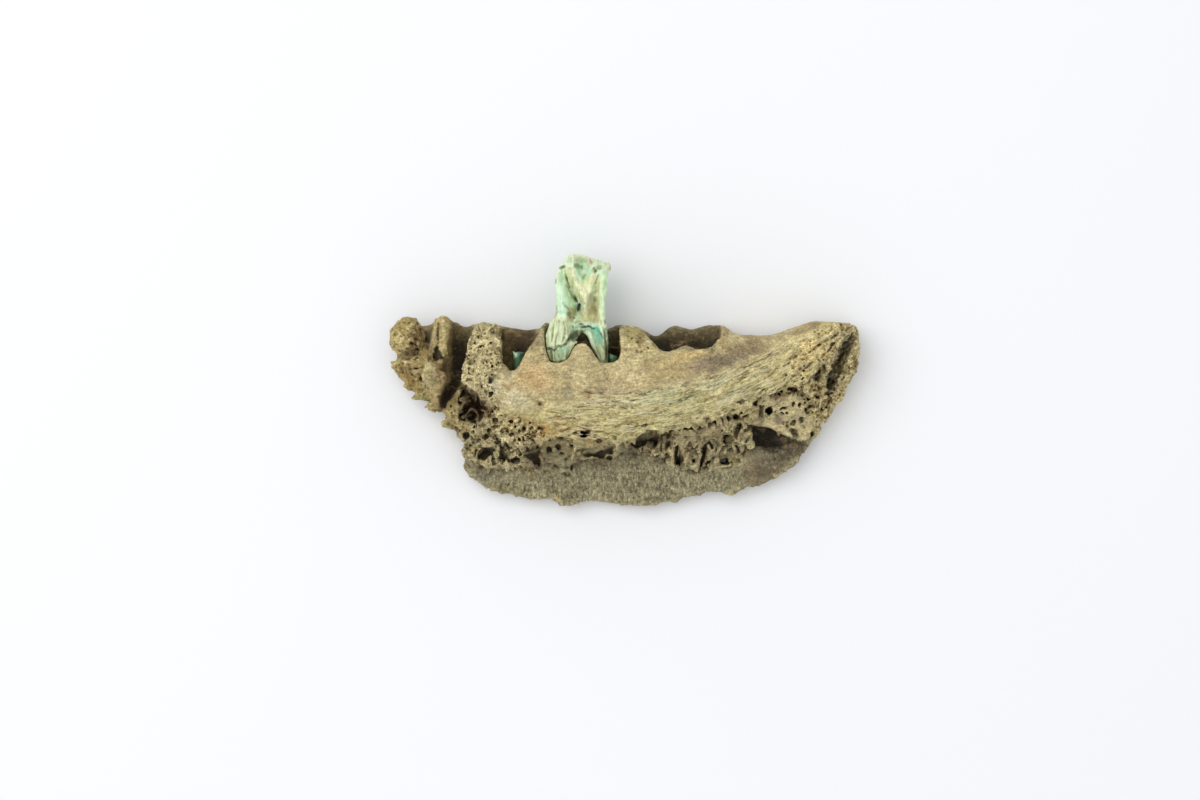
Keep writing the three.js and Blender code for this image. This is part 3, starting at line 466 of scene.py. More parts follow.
# Splinters along the broken near end: root, tip and half width
SPLINTERS = [
    ((-23.9, 1.5, 2.2), (-25.5, 2.0, 2.0), 0.42), ((-23.6, 0.9, 2.2), (-24.7, 0.6, 2.0), 0.5),
    ((-22.8, -0.1, 2.2), (-23.5, -1.2, 2.0), 0.5), ((-21.6, -1.2, 2.2), (-23.2, -2.05, 2.0), 0.4),
    ((-20.3, -2.2, 2.2), (-21.8, -3.05, 2.0), 0.4), ((-20.0, -2.7, 2.2), (-20.2, -3.6, 2.0), 0.4),
    ((-18.2, -4.4, 2.4), (-19.9, -5.0, 2.2), 0.38), ((-17.2, -6.0, 2.4), (-18.3, -6.2, 2.2), 0.3),
    ((13.7, -4.3, 4.1), (15.1, -4.9, 4.1), 0.4), ((14.6, -4.5, 4.1), (16.5, -5.1, 4.1), 0.4),
    ((15.9, -4.6, 4.1), (17.4, -5.9, 4.1), 0.42), ((14.4, -4.0, 4.1), (17.4, -4.6, 4.1), 0.5),
    ((16.9, -5.2, 4.0), (18.6, -6.3, 4.0), 0.35), ((13.6, -11.2, 1.8), (14.3, -11.75, 1.7), 0.25),
    ((-7.4, -12.7, 2.0), (-7.2, -13.3, 1.6), 0.4),
]
# Fringes of broken teeth: the line they hang from, the way they point, their spacing, greatest length,
# half width and how far their tips drop
FRINGES = [
    ([(2.6, -6.9), (4.2, -6.3), (6.4, -6.4), (8.4, -6.4), (10.4, -6.4), (11.6, -6.3), (13.9, -5.8)],
     (-0.2, -1), 0.55, 2.0, 0.26, 1.2),
    ([(4.6, -7.4), (7.0, -7.9), (9.4, -8.0), (11.4, -7.6), (13.0, -7.2)], (0.1, -1), 0.7, 1.4, 0.24, 0.9),
    ([(-4.8, -7.0), (-2, -6.9), (1, -6.2), (3.9, -5.5), (5.4, -5.0), (8.4, -4.7), (10.6, -4.0),
      (12.8, -3.1), (14.4, -1.9)], (0.1, -1), 0.42, 0.95, 0.2, 0.9),
    ([(-13.9, -5.4), (-12.3, -6.8), (-10.7, -7.1), (-9.6, -6.9)], (0.1, -1), 0.5, 0.9, 0.24, 0.8),
    ([(23.7, 5.0), (22.9, 3.4), (22.2, 1.8), (21.6, 0.4), (21.4, -1.2)], (1, -0.25), 0.45, 0.9, 0.24,
     0.4),
    ([(15.0, -4.7), (16.4, -5.1), (17.4, -5.9), (18.6, -6.1), (19.6, -6.5)], (0.3, -1), 0.6, 0.5, 0.2,
     0.4),
    ([(-16.8, -8.8), (-14.6, -9.0), (-12.6, -9.1), (-10.8, -8.8), (-9.6, -9.4)], (0.1, -1), 0.55, 1.0,
     0.26, 0.8),
    ([(15.6, -2.2), (17.2, -2.0), (18.8, -1.7)], (0.1, -1), 0.6, 0.7, 0.2, 0.4),
    ([(-16.8, -0.8), (-15.9, -1.8), (-15.2, -2.6)], (-0.2, -1), 0.6, 1.3, 0.16, 1.4),
    ([(-15.0, -3.0), (-14.8, -4.0)], (-1, -0.2), 0.5, 1.0, 0.16, 1.2),
    ([(-17.7, -2.3), (-17.8, -3.2), (-17.4, -4.2)], (0.8, 0.5), 0.5, 1.2, 0.17, 0.8),
    ([(-17.0, -4.5), (-15.4, -4.6)], (0.3, 1), 0.5, 0.9, 0.16, 0.5),
]


def hollow(clay, x, y, along, across, turn, deep, top):
    """A hollow of uneven outline sunk from the skin's own height."""
    z = clay.height_at(top, x, y)
    reach = 1.4 * max(along, across)
    window, (dx, dy, dz) = clay.near((x, y, z), (reach, reach, deep * 1.3 + 0.8))
    u, v = turned(dx, dy, along, across, turn)
    small = min(along, across)
    down = np.where(dz > 0, 0, dz / deep)
    shape = (np.sqrt(u * u + v * v + down * down) - 1 + 0.3 * clay.crook[window]) * small
    clay.cut(window, shape, 0.1)
    # Darkens the inside with dirt and painted shade, more for deeper hollows
    clay.soil_and_shade(window, eased(deep, 0, 0.7) * eased(shape, 0.14, -0.08))


def cave(clay, outline, deep, top):
    """A cave of uneven outline sunk below the skin's own height."""
    middle, reach = spread(outline, 0.4)
    level = clay.height_at(top, *middle)
    window, (dx, dy, dz) = clay.near((*middle, level), (*reach, 4))
    x, y = np.broadcast_arrays(dx[:, :, 0] + middle[0], dy[:, :, 0] + middle[1])
    side = -depth_inside(x, y, outline)[:, :, None] + 0.24 * clay.crook[window]
    low = top[window[:2]] - deep * (1 + 0.3 * crags(x, y, seed=73))
    shape = -met(-side, dz + level - low[:, :, None], 0.3)
    clay.cut(window, shape, 0.12)
    # Darkens the cave's inside with dirt and painted shade
    clay.soil_and_shade(window, eased(shape, 0.2, -0.02))


def groove(clay, line, half, deep, top):
    """A narrow groove along a line on the skin, which wanders a little and breaks off here and there."""
    for x, y, _, _ in steps_along(line, 0.8 * half):
        if crags(x * 0.8, y * 0.8, seed=75) < -0.2:
            continue
        y = y + 0.3 * float(crags(x * 0.7, y * 0.7, seed=74))
        z = clay.height_at(top, x, y)
        window, (dx, dy, dz) = clay.near((x, y, z), (half + 0.2, half + 0.2, deep + 0.25))
        away = np.sqrt((dx * dx + dy * dy) / half ** 2 + (dz / deep) ** 2)
        shape = (away - 1 + 0.3 * clay.crook[window]) * half
        clay.cut(window, shape, 0.05)
        # Darkens the groove with dirt and painted shade
        clay.soil_and_shade(window, eased(shape, 0.06, -0.06))


def plate(clay, line, thick, rise, floor_height):
    """A thin upright plate of spongy bone, standing on the floor under its line."""
    middle = np.array(line).mean(axis=0)
    reach = np.abs(np.array(line) - middle).max() + 0.6
    window, (dx, dy, dz) = clay.near((*middle, 5), (reach, reach, 6))
    x, y = dx + middle[0], dy + middle[1]
    away, share = from_line(x[:, :, 0], y[:, :, 0], line)
    foot = clay.read_page(floor_height, np.array([(*p, 0.0) for p in line]))
    ridge = np.interp(share, np.linspace(0, 1, len(line)), foot + rise)
    shape = np.maximum(away[:, :, None] - thick + 0.12 * clay.crook[window], dz + 5 - ridge[:, :, None])
    shape = np.maximum(shape, (foot.min() - 0.8) - (dz + 5))
    clay.join(window, shape, 0.12)


def crest(clay, line, thick, lift, top):
    """A thin rounded crest that follows the skin."""
    for (x0, y0), (x1, y1) in zip(line, line[1:]):
        count = max(2, int(math.hypot(x1 - x0, y1 - y0) / 0.22))
        for t in np.linspace(0, 1, count):
            x, y = x0 + t * (x1 - x0), y0 + t * (y1 - y0)
            z = clay.height_at(top, x, y) + lift - 0.6 * thick
            window, offsets = clay.near((x, y, z), (thick + 0.4,) * 3)
            shape = np.sqrt(sum(d * d for d in offsets)) - thick * (1 + 0.3 * clay.crook[window])
            clay.join(window, shape, 0.12)


def undercut(clay, line, reach, height, tall):
    """An uneven groove that runs in under a broken lip, as deep as a list gives along it, darkened with
    painted shadow.
    """
    for x, y, way_x, way_y in steps_along(line, 0.35):
        deep = np.interp(x, *zip(*reach)) * (1 + 0.8 * float(crags(x * 0.9, y * 0.9, seed=71)))
        if deep < 0.15:
            continue
        at = (x - 0.15 * way_y, y + 0.15 * way_x, height + 0.3 * tall * float(crags(x, y, seed=72)))
        window, (dx, dy, dz) = clay.near(at, (deep + 0.4, deep + 0.4, tall + 0.4))
        away = np.sqrt((dx * dx + dy * dy) / deep ** 2 + (dz / tall) ** 2)
        shape = (away - 1 + 0.25 * clay.crook[window]) * deep
        clay.cut(window, shape, 0.15)
        # Painted shadow inside the groove under the lip
        clay.soil_and_shade(window, 0.8 * eased(shape, 0.1, -0.2))


def splinter(clay, root, tip, width):
    """A flat splinter that thins to its tip."""
    root, tip = np.array(root), np.array(tip)
    way = tip - root
    window, offsets = clay.near((root + tip) / 2, np.abs(way) / 2 + width + 0.3)
    offsets = [d + m - r for d, m, r in zip(offsets, (root + tip) / 2, root)]
    along = np.clip(sum(d * w for d, w in zip(offsets, way)) / (way @ way), 0, 1)
    rest = [d - along * w for d, w in zip(offsets, way)]
    away = np.sqrt(rest[0] ** 2 + rest[1] ** 2 + (1.2 * rest[2]) ** 2)
    clay.join(window, away - width * (1.15 - along ** 2) + 0.06 * clay.crook[window], 0.15)


def fringe(clay, line, way, apart, longest, width, drop, top):
    """A row of thin splinters of mixed lengths that hang from an edge."""
    draw = np.random.default_rng(len(line) * 7)
    for x, y, _, _ in steps_along(line, apart):
        x, y = x + draw.normal() * 0.12, y + draw.normal() * 0.12
        z = clay.height_at(top, x, y) - 0.3
        size = draw.uniform(0.3, 1)
        lean = np.array(way) + draw.normal(size=2) * 0.25
        tip = (x + lean[0] * longest * size, y + lean[1] * longest * size, z - drop * size)
        splinter(clay, (x, y, z), tip, width * draw.uniform(0.7, 1.2))


def sponge(clay, where, size, wall, deep, seed, shut=0.2, lowest=-1.0, along=None, dirt_and_shade=0.9):
    """Uneven cells with thin walls between them, opened from the skin: sizes along, across and down."""
    level = (np.abs(clay.field) < 1.3 * deep) & (where > 0.05)[:, :, None] & (clay.height > lowest)
    spots = np.nonzero(level)
    x, y, z = (axis[n] for axis, n in zip(clay.axes, spots))
    if along is not None:
        y = along[spots[:2]]
    bend = clay.crook[spots] * 0.16 * min(size)
    apart, own, other = between_cells((x + bend) / size[0], (y - bend) / size[1], (z + bend) / size[2], seed)
    skin = clay.field[spots]
    cell = (wall - apart * min(size)) / 2
    depth = deep * (0.45 + 0.8 * own) * where[spots[:2]] * (other > shut) - 0.05
    shape = np.maximum(cell, -skin - depth)
    clay.field[spots] = -met(-skin, shape, 0.08)
    # Darkens the open cells with dirt and painted shade
    clay.soil_and_shade(spots, dirt_and_shade * eased(shape, 0.08, -0.16) * (other > shut))


def ridged(x, y, seed):
    """Winding ridges with flat ground between them, about 0 on the whole."""
    return np.abs(crags(x, y, seed=seed)) - 0.3


jaw = Clay("jaw_bone", JAW_STEP)
JX, JY = jaw.page
zone = {name: region(jaw.page, outline) for name, outline in ZONES.items()}
spongy = np.clip(sum(zone[n] for n in ("fine", "band", "left", "right", "end")), 0, 1)

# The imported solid's facets are rubbed down, most on the smooth outer wall and its crest.
smooth_share = np.clip(zone["wall"] + zone["crest"] * 1.2, 0, 1)[:, :, None] * eased(jaw.height, 4.6, 5.8)
jaw.field = blurred(jaw.field, 0.18 / JAW_STEP)
jaw.field += (blurred(jaw.field, 0.6 / JAW_STEP) - jaw.field) * smooth_share

# The broken edges are crumbly all through, and the spongy bone most of all.
lip_away, _ = from_line(JX, JY, LIP)
near_lip = eased(lip_away, 1.0, 0.2)
rough_parts = zone["edge"] + zone["knob"] + zone["shelf"] + zone["dome"]
crumbly = spongy + 0.5 * zone["end"] + 0.6 * rough_parts + 0.9 * near_lip
crumbly = np.clip(crumbly, 0, 1.5)[:, :, None] * eased(jaw.height, 0.6, 1.8)
inner = eased(jaw.height, 4.6, 3.4) * eased(JY, -5, -7)[:, :, None]
size = jaw.field.shape
shown = eased(jaw.height, 0.4, 1.2)
jaw.field += lumpy(size, 1.2 / JAW_STEP, 31) * (0.05 + 0.3 * crumbly + 0.14 * inner)
jaw.field += lumpy(size, 0.9 / JAW_STEP, 34) * 0.3 * zone["end"][:, :, None]
jaw.field += lumpy(size, 0.6 / JAW_STEP, 32) * (0.04 + 0.24 * crumbly + 0.1 * inner)
jaw.field += lumpy(size, 0.32 / JAW_STEP, 33) * (0.05 + 0.14 * crumbly + 0.06 * inner) * shown

# Long strands stand up where the outer wall is layered.
strand = grain_line(JX, JY)
ridges = ridged(JX * 0.3, strand * 1.9, seed=21)
fine_ridges = ridged(JX * 0.5, strand * 3.4, seed=22)
layered = np.clip(zone["end"] * 0.5 + zone["layers"] * (0.7 - 0.4 * zone["frayed"]), 0, 1)
tangled = ridged(JX * 1.5, JY * 1.5, seed=25)
relief = (0.03 + 0.35 * layered) * ridges + (0.06 + 0.28 * layered) * fine_ridges
near_top = eased(jaw.top()[:, :, None] - jaw.height, 1.7, 0.9)
jaw.field += relief[:, :, None] * eased(jaw.height, 4.2, 5.4) * (0.15 + 0.85 * near_top)
torn = np.clip(0.8 * zone["end"] + zone["frayed"], 0, 1)
jaw.field += (0.5 * tangled * torn)[:, :, None] * eased(jaw.height, 2.2, 3.4)
ends = np.clip(zone["knob"] + zone["edge"], 0, 1)
upright = ridged(JX * 2.2 + 0.5 * JY, JY * 0.8, seed=23)
jaw.field += (upright * (0.3 * ends))[:, :, None] * eased(jaw.height, 2.6, 3.6)
jaw.field += (ridged(JX * 2.6, JY * 0.9, seed=24) * 0.12)[:, :, None] * inner

top = jaw.top()
floor_height = blurred(top, 0.5 / JAW_STEP)
undercut(jaw, LIP, LIP_REACH, height=6.1, tall=1.75)
undercut(jaw, SHELF_LIP, SHELF_REACH, height=3.1, tall=0.65)
for outline, deep in CAVES:
    cave(jaw, outline, deep, blurred(top, 0.3 / JAW_STEP))
for x, y, along, across, turn, deep in HOLLOWS:
    hollow(jaw, x, y, along, across, turn, deep, top)
for line, half, deep in CRACKS:
    groove(jaw, line, half, deep, top)
for line, thick, rise in PLATES:
    plate(jaw, line, thick, rise, floor_height)

broken = np.clip(zone["left"] + zone["right"] + 0.3 * zone["ledge"], 0, 1)
broken_low = np.clip(broken + zone["shelf"], 0, 1)
near_end = np.clip(zone["fine"] + zone["band"], 0, 1)
firm_layers = 0.8 * zone["layers"] * (1 - zone["frayed"])
shreds = eased(lip_away, 1.6, 0.4) * eased(JX, -14, -12)
rims = np.clip(zone["partition"] + zone["rim"], 0, 1)
near_cave, far_cave = (region(jaw.page, CAVES[number][0]) for number in (0, -1))
sponge(jaw, broken, (0.85, 1.3, 0.9), 0.15, 0.9, 41, shut=0.4, lowest=3.0, dirt_and_shade=0.7)
sponge(jaw, broken_low, (0.5, 0.6, 0.6), 0.13, 0.35, 42, shut=0.4, lowest=3.0, dirt_and_shade=0.5)
sponge(jaw, zone["band"], (0.75, 0.75, 0.8), 0.14, 0.8, 44, shut=0.1, lowest=3.0, dirt_and_shade=0.8)
sponge(jaw, zone["fine"], (0.6, 0.85, 0.8), 0.13, 0.6, 45, shut=0.05, lowest=4.0, dirt_and_shade=0.7)
sponge(jaw, near_end, (0.4, 0.44, 0.5), 0.12, 0.3, 53, shut=0.3, lowest=4.0, dirt_and_shade=0.5)
sponge(jaw, zone["end"], (0.8, 0.55, 0.7), 0.14, 0.9, 46, shut=0.15, lowest=2.0, along=strand, dirt_and_shade=0.9)
sponge(jaw, far_cave, (0.8, 0.8, 0.8), 0.24, 0.6, 56, shut=0.2, lowest=2.0, dirt_and_shade=0.3)
sponge(jaw, zone["end"], (0.5, 0.4, 0.5), 0.12, 0.35, 54, shut=0.3, lowest=2.0, along=strand, dirt_and_shade=0.6)
sponge(jaw, firm_layers, (3.2, 0.36, 0.7), 0.22, 0.2, 51, shut=0.55, lowest=6.5, along=strand, dirt_and_shade=0.6)
sponge(jaw, zone["frayed"], (0.7, 0.4, 0.5), 0.13, 0.35, 57, shut=0.3, lowest=2.0, along=strand, dirt_and_shade=0.5)
sponge(jaw, shreds, (1.0, 0.5, 0.6), 0.14, 0.5, 52, shut=0.3, lowest=5.0, along=strand, dirt_and_shade=0.7)
sponge(jaw, ends, (0.34, 0.5, 0.4), 0.12, 0.2, 47, shut=0.5, lowest=3.2, dirt_and_shade=0.4)
sponge(jaw, zone["shelf"], (0.7, 0.9, 0.7), 0.16, 0.35, 49, shut=0.6, lowest=3.6, dirt_and_shade=0.3)
sponge(jaw, near_cave, (0.8, 0.6, 0.7), 0.2, 0.7, 55, shut=0.2, lowest=1.5, dirt_and_shade=0.2)
sponge(jaw, rims, (0.5, 0.6, 0.5), 0.14, 0.4, 48, shut=0.35, lowest=4.5, dirt_and_shade=0.7)
for line, thick, lift in CRESTS:
    crest(jaw, line, thick, lift, top)
for root, tip, width in SPLINTERS:
    splinter(jaw, root, tip, width)
for line, way, apart, longest, width, drop in FRINGES:
    fringe(jaw, line, way, apart, longest, width, drop, top)


def trimmed(clay, box):
    """The lump kept over its resting plane and just inside a box."""
    for axis, low, high, shape in zip(clay.axes, *box, ((-1, 1, 1), (1, -1, 1), (1, 1, -1))):
        at = axis.reshape(shape)
        beyond = np.maximum(low / MM - at, at - high / MM) + TRIM
        clay.field = np.maximum(clay.field, beyond)


def one_body(points, faces):
    """Drops crumbs that hang on nothing."""
    label = np.arange(len(points))
    while True:
        lower = label.copy()
        np.minimum.at(lower, faces.ravel(), np.repeat(label[faces].min(axis=1), faces.shape[1]))
        lower = lower[lower]
        if np.array_equal(lower, label):
            break
        label = lower
    names, counts = np.unique(label, return_counts=True)
    kept = label == names[np.argmax(counts)]
    number = np.cumsum(kept) - 1
    return points[kept], number[faces[kept[faces[:, 0]]]]


def fired(name, clay, most):
    """The clay's skin as an object, with its flatter parts thinned out."""
    grid = vdb.FloatGrid(SKIN)
    grid.copyFromArray(clay.field, ijk=clay.low)
    grid.transform = vdb.createLinearTransform(voxelSize=clay.step)
    points, faces = grid.convertToQuads()
    points, faces = one_body(points, faces[:, ::-1])
    mesh = bpy.data.meshes.new(name)
    mesh.vertices.add(len(points))
    mesh.vertices.foreach_set("co", (points * MM).astype(np.float32).ravel())
    mesh.loops.add(faces.size)
    mesh.loops.foreach_set("vertex_index", faces.astype(np.int32).ravel())
    mesh.polygons.add(len(faces))
    mesh.polygons.foreach_set("loop_start", (np.arange(len(faces)) * 4).astype(np.int32))
    mesh.update(calc_edges=True)
    made = bpy.data.objects.new(name, mesh)
    bpy.context.scene.collection.objects.link(made)
    if len(faces) * 2 > most:
        made.modifiers.new("thin", "DECIMATE").ratio = most / (len(faces) * 2)
        shown = made.evaluated_get(bpy.context.evaluated_depsgraph_get())
        thinned = bpy.data.meshes.new_from_object(shown)
        made.modifiers.clear()
        made.data = thinned
    made.data.shade_smooth()
    return made


def vertices(made):
    points = np.zeros(len(made.data.vertices) * 3, np.float32)
    made.data.vertices.foreach_get("co", points)
    return points.reshape(-1, 3) / MM


trimmed(jaw, packed_box)
jaw_bone = fired("fossil_jaw", jaw, MOST_TRIANGLES)
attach(jaw_bone, "root")
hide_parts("jaw_bone")

# The jaw's colours and finish. Buried bone, stained tan and brown by the soil and faintly green beside the
# copper-stained tooth, with grey silt on the inner wall and brown dirt packed in its cells and sockets.
# Painted shade darkens the hollows, cells, cracks and sockets and the floor under the broken lip, and a
# painted highlight lightens sharp edges. Broad stains and this painted light and shade are laid on the mesh,
# and the grain, specks and fine pores are worked by the material.

OUTER_TAN = (194, 178, 131)
LOWER_CREAM = (198, 186, 128)
CELL_CREAM_AND_HIGHLIGHT = (228, 214, 162)
SPONGE_BROWN = (148, 134, 98)
SILT_GREY = (153, 145, 113)
CELL_DIRT_AND_SHADE = (46, 36, 23)
SOCKET_SOIL_AND_SHADE = (52, 42, 25)
NEAR_END = (174, 154, 102)
FAR_END = (246, 220, 146)
FRAYED_GOLD = (240, 208, 134)
SPONGE_EDGE_HIGHLIGHT = (202, 187, 140)
INNER_SIDE = (160, 146, 110)
BROWN_PATCH = (166, 140, 98)
SILT_FLECK = (210, 200, 158)
SILT_GRIT = (74, 65, 47)
PORE_BROWN = (70, 56, 34)
SEAM_BROWN = (98, 78, 48)
STRAND_CREAM = (230, 221, 176)
GRAIN_DEPTH = 0.16
